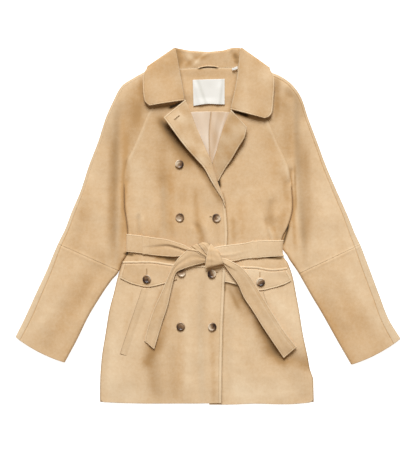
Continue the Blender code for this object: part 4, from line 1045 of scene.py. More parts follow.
def facing():
    """Rows across the back neck; the first ones bend up to the neck seam."""
    y = FACING_TOP - stops(100.3, 2.5, EDGE_NEAR, hem(3))
    x = level_rows(FACING, y, 2.5)
    y = sagging(x, y, 340)
    seam_y = STAND.at("low", x) + 0.5
    y = y + (seam_y - FACING_TOP) * smooth_step(320, FACING_TOP, y)
    rise = 0.35 * waves(x, y, 45, 21) + FACING_RISE * smooth_step(350, 370, y)
    seam = smooth_step(3.0, 0.6, seam_y - y)
    # painted shadow of the hanging loop, painted shadow beside the collar, and a painted highlight on the
    # neck seam
    shade = 0.985 - 0.85 * bell(y - 374 + 0.006 * (x - 3) ** 2, 1.6) * smooth_step(25, 19, np.abs(x))
    shade = shade - 0.13 * beside_collar(x, y) + 0.02 * seam
    shell("facing_back_neck", grid(x, y, on_back(x, y) + rise), TRIM_WALL, SUEDE, 0.36 + 0.4 * seam, shade,
          sewn=("last",), inset=3.0, groove=0.2, joined=("first",))


def lining():
    """Two halves that meet at the pleat, where the one on the right sleeve's side lies a step higher."""
    y = LINING_TOP - stops(146, 2)
    left, line, right = LINING_EDGE.at("left_x", y), PLEAT.at("x", y), LINING_EDGE.at("right_x", y)
    x = np.hstack([left[:, None] + stops(line - left, 1.6, SATIN_NEAR, PLEAT_NEAR),
                   line[:, None] + 0.05 + stops(right - line, 1.6, PLEAT_NEAR, SATIN_NEAR)])
    y = sagging(x, y, 240)
    past = x - line[:, None]
    drape = 0.4 * waves(x, y * 0.3, 22, 31) + 0.9 * bell(past + 9, 7) * smooth_step(150, 250, y)
    drape = drape + 1.1 * bell(past - 14 - (y - 250) * 0.1, 5) * smooth_step(160, 250, y)
    slack = smooth_step(0, 12, np.minimum(x - left[:, None], right[:, None] - x))
    rise = 1.8 * smooth_step(1, -1, past) + drape * slack + 0.3
    # the half on the wearer's right is painted paler for the satin's gleam; a painted highlight runs along a
    # fold on the other half, and painted shade down the pleat
    tone = np.where(past < 0, 0.66, 0.26) + 0.12 * waves(x, y * 0.4, 34, 33)
    tone = tone + 0.4 * soft_line(x, y, 42, 268, 14, 160, 2, 2.6) - 0.9 * bell(past - 0.8, 1.3)
    shell("lining_back", grid(x, y, on_back(x, y) + rise), LINING_WALL, LINING, tone)


def label():
    """A bare ribbon, sewn along its top and loose below, where it waves and its low edge curls up."""
    y = LABEL_TOP - stops(60, 1.5, LABEL_NEAR)
    x = level_rows(LABEL, y, 1.5, LABEL_NEAR)
    low_edge = smooth_step(340, 286, y)[:, None]
    y = y[:, None] + 0 * x + (0.055 * x + 3.2 * bell(x + 2, 24) - 1.0) * low_edge + 0.03 * x * (1 - low_edge)
    wave = 1.5 * bell(x + 20 + (y - 300) * 0.25, 7) + 1.3 * bell(x - 24 - (y - 300) * 0.1, 6)
    wave = wave - 0.5 * bell(x - 4, 9)
    z = wave * smooth_step(LABEL_TOP, 322, y) + (0.3 + 1.3 * bell(x + 2, 20)) * smooth_step(306, 288, y)
    # painted shade down one side of each of the two waves
    tone = 0.7 - 0.7 * bell(x + 12 + (y - 310) * 0.35, 4) - 0.5 * bell(x - 30 - (y - 300) * 0.1, 3)
    shell("label_bare", grid(x, y, z + UNDER + WALL + THIN + TRIM_WALL + 0.8), LABEL_WALL, RIBBON, tone)


def loop_and_tape():
    """A narrow loop that arches a little off the facing, and beside it a small tape."""
    start, length = HANGER.rows[0, 0], 49
    x = start + stops(length, 1.2, RIBBON_NEAR)[:, None]
    y = HANGER.at("y", x) + np.array((-1.3, -1.1, -0.6, 0, 0.6, 1.1, 1.3))
    arch = 1.54 * hump((x - start) / length) ** 0.7
    shell("loop_for_hanging", grid(x, y, STAND_LOW + 1.2 + arch), 1.4, SUEDE, 0.6)

    start, length = TAB.rows[0, 0], 13
    along = stops(length, 1, RIBBON_NEAR)
    low, high = TAB.at("low", start + along), TAB.at("high", start + along)
    x = (start + along)[:, None]
    y = low[:, None] + stops(high - low, 1, RIBBON_NEAR)
    z = STAND_LOW + 3.4 + 1.6 * bell(x - 61, 4) + 0.18 * (x - start)
    shell("size_tape", grid(x, y, z), LABEL_WALL, RIBBON)


for neck_part in (stand, facing, lining, label, loop_and_tape):
    neck_part()

# %% [markdown]
# ## Collar and lapels
# The collar leaf is one strip of two layers of suede that turns over its roll line, spreads on both fronts,
# and passes over the shoulders and under the back neck. Each lapel is the front's facing, turned out over a
# soft roll. Both are springy, so their free edges stand off the coat and shade it.

# %% Collar
COLLAR = Table(
    "roll_x roll_y edge_x edge_y face roll lift",
    (-53.5, 296, -137, 283, 90, 90, 7), (-55, 309, -148, 294, 90, 90, 6), (-59.5, 334, -152, 319, 90, 90, 5),
    (-64.5, 360, -152.5, 344, 90, 90, 4), (-69, 388, -150, 359, 90, 75, 4),
    (-74, 416, -145.5, 366.5, 90, 45, 3), (-74, 416, -142, 368.5, 60, 40, 3),
    (-74, 416, -140, 370, 30, 40, 3), (-74, 416, -139, 371, 0, 40, 3), (-74, 416, -139.5, 370, -30, 40, 2),
    (-74, 416, -141, 369, -60, 40, 1), (-73, 415, -142, 367, -90, 45, 0), (-64, 414, -129, 353, -90, 60, 0),
    (-42, 411, -80, 328, -90, 60, 0), (0, 409, 0, 315, -90, 60, 0), (42, 412, 80, 325, -90, 60, 0),
    (62, 416, 130, 349, -90, 60, 0), (72, 416, 146, 365, -90, 45, 0), (73, 417, 143.5, 366, -60, 40, 1),
    (73, 417, 142, 367, -30, 40, 2), (73, 417, 141.5, 368, 0, 40, 3), (73, 417, 142, 367.5, 30, 40, 3),
    (73, 417, 144, 366, 60, 40, 3), (73, 417, 147.5, 363.5, 90, 45, 3), (71, 387, 154, 348, 90, 75, 4),
    (68.5, 360, 155, 330, 90, 90, 5), (63.5, 330, 153, 300, 90, 90, 5), (58, 303, 150, 269, 90, 90, 6),
    (54, 286, 143, 258, 90, 90, 7), (52, 275, 132, 253.5, 90, 90, 8))
SHOULDER_FOLD = 6.5
ROLL = 4.0
LEAF_SEAM = {"inset": 4.0, "groove": 0.3, "dim": 0.08}


def strip(table, place, reach_, roll, pitch, far):
    """Lines from the rolled edge to the free one: places, depths under the face, distances, directions, and
    the lines' lengths."""
    roll_xy, edge_xy = table.pair("roll_x roll_y", place), table.pair("edge_x edge_y", place)
    length = np.linalg.norm(edge_xy - roll_xy, axis=-1)
    across = (edge_xy - roll_xy) / length[:, None]
    turn = np.radians(roll)[:, None] * np.linspace(1, 0, 13)
    near = reach_ * (1.1 - np.sin(turn))
    flat = near[:, -1:] + stops(length - near[:, -1], pitch, (0, 1.2), far)[:, 1:]
    distance = np.hstack([near, flat])
    depth = np.hstack([reach_ * (1 - np.cos(turn)), 0 * flat])
    return roll_xy[:, None] + across[:, None] * distance[..., None], depth, distance, across, length


def collar():
    """Face angle 90 lies face up, 0 stands on edge at the shoulder and -90 lies face down under the back."""
    place = rows_of(COLLAR, 2.4, hem(4), turn=9)
    face = np.radians(COLLAR.by_row("face", place))[:, None]
    roll = COLLAR.by_row("roll", place)
    at, depth, distance, across, length = strip(COLLAR, place, ROLL, roll, 2.4, hem(4))
    outward = np.stack([-across[:, 1], across[:, 0]], axis=-1)
    outward = outward * np.sign(COLLAR.by_row("roll_x", place))[:, None]
    at = at + (outward * np.cos(face))[:, None] * (SHOULDER_FOLD - depth)[..., None]
    x, y = at[..., 0], at[..., 1]
    share = distance / length[:, None]
    lift = COLLAR.by_row("lift", place)[:, None] * smooth_step(-0.3, 0.8, share)
    lift = lift + 2.0 * hump(share) * smooth_step(0.0, 0.9, np.sin(face))
    high = cloth_top(x, y) * 0.6 + 0.4 * (2 * WALL + UNDER * neck_band(y) + PUFF) + LIE + LAPEL_WALL + lift
    high = high + 0.5 * waves(x, y, 60, 41) * smooth_step(0, 25, distance)
    up = (1 + np.sin(face)) / 2
    z = high * up - depth * np.sin(face)
    left_side = smooth_step(0, 50, x)
    pale = 0.36 + 0.07 * smooth_step(-60, 100, x) + 2 * PANEL_TONE * waves(x, y, 60, 13)
    # painted sheen makes the rolled edge paler and greyer; painted shade where the collar stands on edge at
    # the shoulders and near the roll line
    pale = pale + (0.45 + 0.25 * left_side) * smooth_step(3.6, 1.2, distance)
    shade = 0.945 - 0.22 * np.cos(face) - 0.05 * smooth_step(28, 5, distance)
    shade = shade - (0.09 + 0.03 * left_side) * smooth_step(3.2, 1, distance)
    shell("collar_fall", grid(x, y, np.maximum(z, 0.4)), LAPEL_WALL + 0.3, SUEDE, pale, shade, at=(6, 30),
          sewn=("first", "last", "end"), **LEAF_SEAM)


collar()

# %% Lapels
LAPELS = {
    "right": Table(
        "roll_x roll_y edge_x edge_y lift",
        (-52, 298, -104, 255, 13), (-40, 270, -90, 236, 16), (-27, 235, -70, 208, 15),
        (-13, 203, -47, 179, 12), (-2, 177, -27, 157, 9), (8, 155, -9, 136, 6), (18, 122, 7, 107, 3),
        (30.5, 86, 24, 79, 0.5), (36.5, 70, 32.5, 65, 0.2), (41, 48, 39.6, 46, 0)),
    "left": Table(
        "roll_x roll_y edge_x edge_y lift",
        (53, 275, 91, 233, 9), (39, 244, 86, 210, 11), (29, 214, 70, 183, 9), (20, 181, 55, 157, 6),
        (11, 155, 42, 138, 3), (4, 129, 31, 119, 1), (0, 113, 25, 107, 0)),
}
LAPEL_ROLL = 5.0
# each lapel's tone and its painted shade, dimmed against the light on its lifted, tilted face
LAPEL_TONE_AND_SHADE = {"right": (0.56, 0.9), "left": (0.5, 0.83)}


def lapel(side):
    """The same strip as the collar's, rolled a quarter turn along its inner edge."""
    table = LAPELS[side]
    place = rows_of(table, 1.8, hem(4))
    size = table.pair("edge_x edge_y", place) - table.pair("roll_x roll_y", place)
    reach_ = np.minimum(LAPEL_ROLL, 0.4 * np.linalg.norm(size, axis=-1))[:, None]
    at, depth, distance, _, length = strip(table, place, reach_, np.full(len(place), 90.0), 1.8, hem(4))
    x, y = at[..., 0], at[..., 1]
    share = distance / length[:, None]
    lift = table.by_row("lift", place)[:, None] * (0.35 + 0.65 * smooth_step(0.0, 1.0, share))
    z = front_top(side, x, y) + LIE + LAPEL_WALL + lift - depth + 0.4 * waves(x, y, 50, 51)
    pale, shade = LAPEL_TONE_AND_SHADE[side]
    shell(f"lapel_{side}_turned_out", grid(x, y, z), LAPEL_WALL + 0.2, SUEDE,
          pale + 3 * PANEL_TONE * waves(x, y, 34, 15), shade, sewn=("first", "end"), **LEAF_SEAM)


lapel("right")
lapel("left")
print("collar and lapels", [len(PIECES[n].data.polygons) for n in list(PIECES)[-3:]])


# %% [markdown]
# ## Belt
# The belt is one long strip of doubled suede. It comes from under the back, turns round each side, and is
# tied in one knot in front. It is gathered where it goes into the knot, so pleats run out of the knot along
# it. The strand over the knot hides the others, and the free ends hang from under it and lie over the
# skirt.

# %% Belt tables
BELT = {
    "right": Table(
        "x top bottom",
        (-196, -16, -58), (-157, -20, -62), (-133, -24, -66), (-100, -28, -69), (-79, -34, -70),
        (-57, -41, -68), (-42, -49, -66), (-14, -56, -68)),
    "left": Table(
        "x top bottom",
        (180, -31, -69), (150, -31, -70), (114, -32, -73), (87, -37, -75), (60, -40.5, -80.5),
        (43, -42.5, -81), (31, -44, -79), (20, -46, -76), (11, -48, -72)),
}
BELT_WIDTH, BELT_WRAP, BELT_ROUND = 42, 6.0, 3.8
BELT_BACK_ENDS = {"right": -130, "left": 115}
BELT_LIFT = {"right": 2.4, "left": 0.6}
BELT_TONE = {"right": 0.5, "left": 0.64}
BELT_STITCH = 3.2
BELT_NEAR = hem(BELT_STITCH)
BELT_SEAM = {"inset": BELT_STITCH, "groove": 0.25, "dim": 0.06}
BELT_TAILS = {
    "right": Table(
        "left_x left_y right_x right_y lift",
        (-5, -68, -6, -84, 4), (-38, -51, -34, -91, 4.4), (-64, -67, -57, -98.5, 4.6),
        (-80, -87, -73.5, -107, 4.6), (-93, -114, -80, -123, 4.2), (-107, -148, -88, -157, 3.4),
        (-119, -174, -94, -184, 2.6), (-135, -214, -107, -224, 1.4), (-149, -267, -126, -287, 0.4)),
    "left": Table(
        "left_x left_y right_x right_y lift",
        (31, -84, 31, -73, 3.4), (39, -92, 41, -73.5, 3.8), (47, -103, 53, -79, 4), (58, -118, 70, -88, 4.2),
        (70, -135, 90, -105, 4.4), (83, -164, 110, -134, 4.8), (104, -196, 133, -172, 5.2),
        (129, -236, 159, -214, 5.6), (155, -275, 186, -254, 5.6), (177, -307, 208, -281, 4.8)),
}
BELT_CREASE = Table(
    "x y",
    (-150, -47), (-125.5, -45), (-95.4, -43), (-74.5, -47.5), (-50.5, -55), (-14, -60))


# %% Belt
def belt_height(side, x, y):
    """The belt's face: half the cloth's own rise, with a crown across its width, and its crease."""
    table = BELT[side]
    top_y, low_y = table.at("top", x), table.at("bottom", x)
    share = np.clip((top_y - y) / (top_y - low_y), 0, 1)
    narrow = np.clip(1 - (top_y - low_y) / BELT_WIDTH, 0, 1)
    shape = (0.6 + 2.2 * narrow) * np.sin(np.pi * share) + 0.3 * waves(x, y, 60, 61)
    if side == "right":
        over = y - BELT_CREASE.at("y", x)
        crease = 2.6 * smooth_step(-0.6, 2.4, over) * bell(over, 30) - bell(over + 3, 3)
        shape = shape + smooth_step(-165, -70, x) * crease
    else:
        shape = shape + 0.9 * smooth_step(110, 40, x) * bell(share - 0.62 + (x - 40) * 0.002, 0.09)
    flat = cloth_top(x, y) * 0.5 + 0.5 * (2 * WALL + UNDER + PUFF - 1) + LIE + LAPEL_WALL
    return flat + BELT_LIFT[side] * smooth_step(215, 130, np.abs(x)) + shape


def belt_side(side):
    """From the knot along the front, half a turn round the side, and a little way under the back."""
    out = sign(side)
    table = BELT[side]
    knot_x = table.rows[-1, 0]
    side_x = float(SIDE.at(side, -44))
    turn_x = side_x - out * BELT_WRAP
    turn = np.radians(np.linspace(90, -90, 17))
    front_x = knot_x + out * stops(abs(turn_x - knot_x), 2.0, (0, 0.5, 1.2), (0, 1))[:-1]
    under_x = np.linspace(turn_x, BELT_BACK_ENDS[side] + out * SEAM / 2, 12)[1:]
    x = np.concatenate([front_x, turn_x + out * (BELT_WRAP + BELT_ROUND) * np.cos(turn), under_x])[:, None]
    high = np.concatenate([np.ones(len(front_x)), (1 + np.sin(turn)) / 2, np.zeros(len(under_x))])[:, None]
    top_y = table.at("top", x)
    y = top_y - stops((top_y - table.at("bottom", x))[:, 0], 1.6, BELT_NEAR)
    z = belt_height(side, x, y) * high
    x = x + (SIDE.at(side, y) - side_x) * smooth_step(turn_x - out * 40, turn_x, x)
    pale = BELT_TONE[side] + PANEL_TONE * waves(x, y, 100, 17)
    shell(f"belt_round_{side}_side", grid(x, y, z), LAPEL_WALL, SUEDE, pale, 0.97, at=(4, 10),
          sewn=("start", "end"), **BELT_SEAM)


def belt_back():
    """The stretch under the back, flat on the floor."""
    x = np.linspace(BELT_BACK_ENDS["right"] + SEAM / 2, BELT_BACK_ENDS["left"] - SEAM / 2, 60)
    share = (x - x[0]) / (x[-1] - x[0])
    top, bottom = (BELT["right"].at(column, BELT_BACK_ENDS["right"]) * (1 - share)
                   + BELT["left"].at(column, BELT_BACK_ENDS["left"]) * share for column in ("top", "bottom"))
    y = top[:, None] - stops(top - bottom, 4, BELT_NEAR)
    shell("belt_under_back", grid(x[:, None], y, 0.4), LAPEL_WALL, SUEDE, 0.6, up=False,
          sewn=("start", "end"), inset=BELT_STITCH)


def belt_tail(side):
    """A free end: straight lines from its left edge to its right one, with a soft lengthwise crease."""
    table = BELT_TAILS[side]
    place = rows_of(table, 2.0, (0, 0.5, 1.2), BELT_NEAR)
    x, y, down, share = ruled(table, place, 1.5, BELT_NEAR)
    from_knot = (place / table.last())[:, None]
    if side == "right":
        middle = 0.42 + 0.05 * np.sin(from_knot * 7)
        crease = -0.9 * bell(share - middle, 0.11) * smooth_step(0.75, 0.3, from_knot) + 0.5 * bell(
            share - middle - 0.24, 0.14)
    else:
        middle = 0.1 + 1.3 * from_knot
        crease = 2.0 * smooth_step(middle - 0.04, middle + 0.07, share) * smooth_step(0.4, 0.2, from_knot)
        crease = crease - 0.5 * bell(share - 0.45, 0.14) * smooth_step(0.2, 0.5, from_knot)
    arch = 1.2 * hump(share) * smooth_step(0.5, 0.0, from_knot)
    base = 0.55 * cloth_top(x, y) + 0.45 * (2 * WALL + UNDER * belt_band(x, y) + PUFF)
    base = base + LIE + LAPEL_WALL + table.by_row("lift", place)[:, None]
    z = base + crease + arch + 0.35 * waves(x, y, 50, 71)
    # painted shade near the knot and in the crease's hollow; on the left tail a pressed line with painted
    # shade and a painted highlight beside it
    shade = 0.94 + 0.05 * crease - 0.12 * bell(from_knot, 0.12)
    pale = 0.54 + PANEL_TONE * waves(x, y, 90, 19)
    if side == "left":
        pressed = (down[:, -1:] - down) - 8.0
        shown = smooth_step(0.25, 0.5, from_knot)
        pale = pale + 0.3 * bell(pressed - 1.4, 1.2) * shown
        shade = shade - 0.12 * bell(pressed, 0.9) * shown
    shell(f"belt_tail_{side}_end", grid(x, y, z), LAPEL_WALL, SUEDE, pale, shade,
          sewn=("start", "end", "last"), **BELT_SEAM)


for side in SIDES:
    belt_side(side)
    belt_tail(side)
belt_back()

# %% [markdown]
# ## Knot
# Three folds of the belt show in the knot: the broad strand that comes over the top and is pulled down, and
# two narrow ones beside it, one above the other, where the right stretch goes in. Each is a short strip
# between two edges that arches across its width. A flattened ball stands for the folds inside.

# %% Knot
KNOT_OVER = Table(
    "left_x left_y right_x right_y z drop",
    (2, -39.5, 7.5, -39.5, 19, 0.5), (1.2, -46, 13.5, -46, 22, 1.2), (-0.8, -55, 21, -56, 24, 2.2),
    (-3.3, -66, 28.5, -66, 25.2, 3), (-5.4, -77, 33.8, -75, 25.4, 3.2), (-6.6, -87, 35.8, -82, 25, 3.2),
    (-7, -93.5, 35.5, -86, 23.8, 2.8), (-6.5, -97.5, 33.5, -87.5, 21.8, 2))
KNOT_UPPER = Table(
    "left_x left_y right_x right_y z drop",
    (-24, -40.5, -12.5, -35.3, 16.5, 0.8), (-19, -44.5, -4, -35.2, 19.2, 1.2),
    (-13.5, -51.5, 3.5, -38, 21, 1.4), (-8.5, -58.5, 6.5, -46, 21.2, 1.4), (-3, -65, 8, -54, 20.6, 1.2))
KNOT_SIDE = Table(
    "left_x left_y right_x right_y z drop",
    (-42.5, -47.5, -23, -37.5, 14.2, 0.8), (-34, -53.5, -18, -41.5, 16.2, 1.2),
    (-24, -61.3, -11, -48.5, 17.6, 1.4), (-14, -67, -6.5, -56, 18.2, 1.4), (-4, -71.8, -1, -63, 18, 1.2),
    (4, -75, 5, -68, 17, 0.8))

KNOT_CENTRE, KNOT_HALF = (14, -69, 13), (16, 16, 7.5)


def knot_strand(name, table, pale, seed, pleats, creases):
    """z = the crest - drop * abs(2 share - 1) ** 3, plus low pleats that run along the strand."""
    place = rows_of(table, 1.0, (0, 0.5, 1.0))
    x, y, _, share = ruled(table, place, 1.0, hem(3.0))
    z = table.by_row("z", place)[:, None] - table.by_row("drop", place)[:, None] * np.abs(2 * share - 1) ** 3
    ridge = pleats * (bell(share - 0.3, 0.12) - 0.8 * bell(share - 0.52, 0.1))
    z = z + ridge * hump(place / table.last())[:, None] + 0.3 * waves(x, y, 16, seed)
    # the creases are lines of painted shade, also along the strands' edges
    shade = 0.97 - sum(dark * bell(share - middle, width) for middle, width, dark in creases)
    shell(name, grid(x, y, z), LAPEL_WALL, SUEDE, pale, shade, sewn=("start", "end"), inset=3.0, groove=0.25,
          dim=0.06)


def knot_inside():
    """A flattened ball for the strands inside: a sphere's grid, scaled along each direction."""
    around = np.linspace(0, 2 * np.pi, 41)[:-1]
    up = np.linspace(np.pi / 2, -np.pi / 2, 21)[1:-1][:, None]
    ring = grid(np.cos(up) * np.cos(around), np.cos(up) * np.sin(around), np.sin(up))
    points = np.concatenate([ring.reshape(-1, 3), [[0, 0, 1], [0, 0, -1]]]) * KNOT_HALF + KNOT_CENTRE
    turned_piece("knot_inside", points, len(around), SUEDE, 0.3, 0.9)


knot_strand("knot_strand_over", KNOT_OVER, 0.45, 81, 0.35, ((1, 0.06, 0.2), (0.34, 0.05, 0.06)))
knot_strand("knot_strand_upper", KNOT_UPPER, 0.5, 85, 0.2, ((1, 0.1, 0.5), (0.45, 0.05, 0.25)))
knot_strand("knot_strand_side", KNOT_SIDE, 0.5, 83, 0.2,
            ((0.2, 0.05, 0.55), (1, 0.12, 0.6), (0.6, 0.08, 0.15)))
knot_inside()


# %% [markdown]
# ## Loops, flaps, welts and piping
# Two narrow loops hold the belt. Over each pocket a flap hangs from below the waist seam, with a blunt
# point at its button, and below it the pocket's slanted mouth is bound by a welt. A corded piping covers
# the waist seam. Each is made from the front's own heights, moved up.

# %% Small pieces of suede
LOOPS = {"right": (-145, 8, 0.54), "left": (109.5, 7, 0.62)}
FLAPS = {
    "right": Table(
        "x bottom",
        (-208, -119), (-195, -126), (-176, -134), (-142, -141), (-106, -134), (-84, -127), (-73, -123)),
    "left": Table(
        "x bottom",
        (39.8, -129), (60, -133.5), (78, -138.5), (100, -145), (120, -149), (157, -142), (185, -132),
        (194, -127)),
}
WELTS = {
    "right": Table(
        "left_x left_y right_x right_y",
        (-154.5, -143.5, -131, -144.5), (-168, -183, -144, -184), (-184, -230, -160, -232),
        (-196, -266, -173, -270), (-206, -296, -186, -304)),
    "left": Table(
        "left_x left_y right_x right_y",
        (106, -154, 129.5, -151.5), (119, -190, 142, -190), (134, -230, 156, -232), (146, -266, 168.5, -270),
        (158, -298, 180, -306)),
}
PIPING = {"right": (-200, 39.5), "left": (43.5, 186)}
FLAP_TOP, FLAP_DROP = -92, 46.0
FLAP_TONE = {"right": 0.46, "left": 0.7}
FLAP_SEWN = {"right": ("last", "start", "end"), "left": ("last", "start")}


def belt_loop(side):
    """A strip that steps up over the belt and down again, rounded at its bends."""
    middle, half, tone = LOOPS[side]
    high, low = float(BELT[side].at("top", middle)), float(BELT[side].at("bottom", middle))
    y = high + 0.5 - stops(high - low + 1, 1.0)
    over = smooth_step(high + 0.5, high - 1.6, y) * smooth_step(low - 0.5, low + 1.6, y)
    x = middle - half + stops(2.0 * half, 1.4, (0, 0.3, 0.8, 1.4))
    x, y = np.meshgrid(x, y)
    z = belt_height(side, x, y) + LOOP_WALL - 0.75 - 0.6 * (1 - over[:, None])
    shell(f"loop_for_belt_{side}", grid(x, y, z), LOOP_WALL, SUEDE, tone, 0.98)


def flap_top(side, x, y, hang):
    return front_top(side, x, y) + LIE + FLAP_WALL + 0.3 * hang


def flap(side):
    """Rows from below the waist seam to the bottom line; the free edge stands off the skirt a little."""
    table = FLAPS[side]
    out = sign(side)
    side_end, other_end = table.rows[[0, -1] if side == "right" else [-1, 0], 0]
    along = np.abs(other_end - side_end)
    run = stops(along, 1.8, hem(4))
    drop = stops(FLAP_DROP, 1.6, EDGE_NEAR, hem(4))
    share = drop / FLAP_DROP
    end_y = FLAP_TOP + (float(table.at("bottom", side_end)) - FLAP_TOP) * share
    end_x = SIDE.at(side, end_y) - out * (FOLD + 0.8)
    x = end_x[:, None] + (other_end - end_x)[:, None] * (run / along)
    top = WAIST.at("y", x) - 5
    y = top - stretched(drop[:, None], FLAP_DROP, top - table.at("bottom", x), 3, 8)
    z = flap_top(side, x, y, (share ** 2)[:, None]) + 0.3 * waves(x, y, 40, 91)
    shell(f"flap_of_pocket_{side}", grid(x, y, z), FLAP_WALL, SUEDE,
          FLAP_TONE[side] + 2 * PANEL_TONE * waves(x, y, 90, 23), sewn=FLAP_SEWN[side], **LEAF_SEAM)


def welt(side):
    """A band along the pocket's mouth, on the front; its edge at the mouth stands up, with painted shade
    along it.
    """
    x, y, down, _ = ruled(WELTS[side], rows_of(WELTS[side], 2.5, hem(2.6)), 1.6, hem(2.6))
    from_mouth = down if side == "right" else down[:, -1:] - down
    mouth = 0.9 * bell(from_mouth, 4) - 1.8 * smooth_step(6, 22, from_mouth)
    pale, shade = toned(x, y, 0.6)
    z = front_top(side, x, y) + 0.4 + TRIM_WALL + mouth
    shell(f"welt_of_pocket_{side}", grid(x, y, z), TRIM_WALL, SUEDE, pale, shade - 0.4 * bell(from_mouth, 1),
          joined=("start", "end"))


def piping(side):
    """A half round cord in a strip, over the waist seam."""
    start, end = PIPING[side]
    x = start + stops(end - start, 2.5)[:, None]
    turn = np.radians(np.linspace(-88, 88, 15))
    y = WAIST.at("y", x) + 2.6 * np.sin(turn)
    z = front_top(side, x, y) + 0.3 + 0.9 * np.cos(turn)
    shell(f"piping_at_waist_{side}", grid(x, y, z), 0.8, SUEDE, 0.8)


for side in SIDES:
    for small_part in (belt_loop, flap, welt, piping):
        small_part(side)
print(len(PIECES), "pieces so far")

# %% [markdown]
# ## Buttons
# Each button is turned horn: a raised rounded rim, a dished middle and four holes. Its section is carried
# round as a surface of revolution, and the holes are short wells in the middle.

# %% Buttons
BUTTONS = (
    ("button_lapel", -67, 147, "front", -20, 0.45),
    ("button_waist_right", -66, 22, "front", 60, 0.4),
    ("button_waist_left", 20, 21, "front", 165, 0.45),
    ("button_hip_right", -62, -107, "front", 110, 0.35),
    ("button_hip_left", 9, -110, "front", 215, 0.5),
    ("button_low_right", -64, -233, "front", 235, 0.2),
    ("button_low_left", 10, -234, "front", 15, 0.45),
    ("button_flap_right", -143, -122, "right", 225, 0.45),
    ("button_flap_left", 123, -129, "left", -60, 0.55))
BUTTON_SECTION = Table(
    "radius height",
    (0, 1.9), (1.4, 1.9), (2.8, 1.85), (4.4, 1.8), (5.8, 1.95), (6.7, 2.35), (7.4, 2.8), (8.2, 3), (9, 2.9),
    (9.6, 2.5), (9.95, 2), (10, 1.5), (9.7, 0.9), (9, 0.5), (7.5, 0.2), (4, 0), (0, 0))
BUTTON_RADIUS, BUTTON_COLUMNS, BUTTON_GAP = 10, 48, 0.4
HOLE_RING, HOLE_RADIUS, HOLE_SOFT, HOLE_DEPTH = 2.3, 0.7, 0.25, 1.3


def seat_of(x, y, under):
    """The highest place of the cloth under a button's middle and its rim."""
    ring = np.radians(np.arange(0, 360, 30))
    near_x = x + BUTTON_RADIUS * np.append(0, np.cos(ring))
    near_y = y + BUTTON_RADIUS * np.append(0, np.sin(ring))
    if under == "front":
        return front_top("right", near_x, near_y).max()
    return flap_top(under, near_x, near_y, 0.45).max()


def button(name, x, y, under, dark_side, contrast):
    """The section's radius and height, carried round; holes are pressed in where the face is near them."""
    around = np.linspace(0, 2 * np.pi, BUTTON_COLUMNS + 1)[:-1]
    rows = np.arange(len(BUTTON_SECTION.rows))
    fine = np.linspace(0, rows[-1], 65)[1:-1, None]
    radius, height = (np.interp(fine, rows, column) for column in BUTTON_SECTION.rows.T)
    ring = grid(radius * np.cos(around), radius * np.sin(around), height)
    for turn in np.radians((45, 135, 225, 315)):
        away = np.hypot(ring[..., 0] - HOLE_RING * np.cos(turn), ring[..., 1] - HOLE_RING * np.sin(turn))
        hole = smooth_step(HOLE_RADIUS + HOLE_SOFT, HOLE_RADIUS - HOLE_SOFT, away)
        ring[..., 2] -= HOLE_DEPTH * hole * (fine < 6)
    centres = [(0, 0, middle) for middle in BUTTON_SECTION.rows[[0, -1], 1]]
    points = np.concatenate([ring.reshape(-1, 3), centres])
    turn = np.radians(dark_side)
    pale = 0.46 - contrast * (points[:, 0] * np.cos(turn) + points[:, 1] * np.sin(turn)) / BUTTON_RADIUS
    base = x, y, seat_of(x, y, under) + BUTTON_GAP
    turned_piece(name + "_horn", points + base, BUTTON_COLUMNS, HORN, pale)


for row in BUTTONS:
    button(*row)

# %% [markdown]
# ## Buttonholes
# A worked buttonhole is a slit whose two lips are sewn over with close stitches. It is laid along the cloth
# as a low ring: a narrow strip with a groove down its middle, with painted shade where the slit opens.

# %% Buttonholes
BUTTONHOLES = (
    ("lapel", "lapel_right_turned_out", (-79, 249), (-66, 260), 0.85),
    ("roll", "lapel_right_turned_out", (3.5, 146.5), (8, 150.5), 0.6),
    ("flap_right", "flap_of_pocket_right", (-143.5, -111), (-143.5, -96.5), 0.3),
    ("flap_left", "flap_of_pocket_left", (121, -117), (121.5, -105), 0.12),
    ("waist", "front_right_above_waist", (3, 25), (9, 24), 0.6),
    ("hip", "front_right_below_waist", (18, -107), (24, -105), 0.6))


def height_on(name, x, y):
    """Mean height of a piece's top near each place, weighted by a bell 2.5 mm wide."""
    top = SEAMS[name][0].reshape(-1, 3)
    near = bell(np.hypot(top[:, 0] - x[..., None], top[:, 1] - y[..., None]), 2.5)
    return (near * top[:, 2]).sum(axis=-1) / near.sum(axis=-1)


def buttonhole(name, cloth, start, end, dark):
    """Height: lips, bell(abs(across) - 1.2, 0.5), and a groove. Painted shade in the slit: 1 - dark *
    bell(across, 0.9).
    """
    start, end = np.array(start, float), np.array(end, float)
    length = np.linalg.norm(end - start)
    ahead = (end - start) / length
    along = stops(length, 0.8, (0, 0.3, 0.6))[:, None]
    across = np.linspace(-2, 2, 17)
    x = start[0] + ahead[0] * along - ahead[1] * across
    y = start[1] + ahead[1] * along + ahead[0] * across
    open_ = smooth_step(0.2, 1.2, np.minimum(along, length - along))
    lips = 0.5 * bell(np.abs(across) - 1.2, 0.5) - 0.25 * bell(across, 0.5) * open_
    shell(f"buttonhole_{name}", grid(x, y, height_on(cloth, x, y) + 0.35 + lips), 0.5, SUEDE, 0.45,
          1 - dark * bell(across, 0.9) * open_, joined=("first", "last", "start", "end"))


for row in BUTTONHOLES:
    buttonhole(*row)

# %% [markdown]
# ## Stitches
# Stitches are short spindles of thread along the grooves that shell() has drawn, one every 3.4 mm, joined
# into one mesh for each part of the coat. A spindle is a closed shape of fourteen points, placed by the
# groove's own direction and normal.

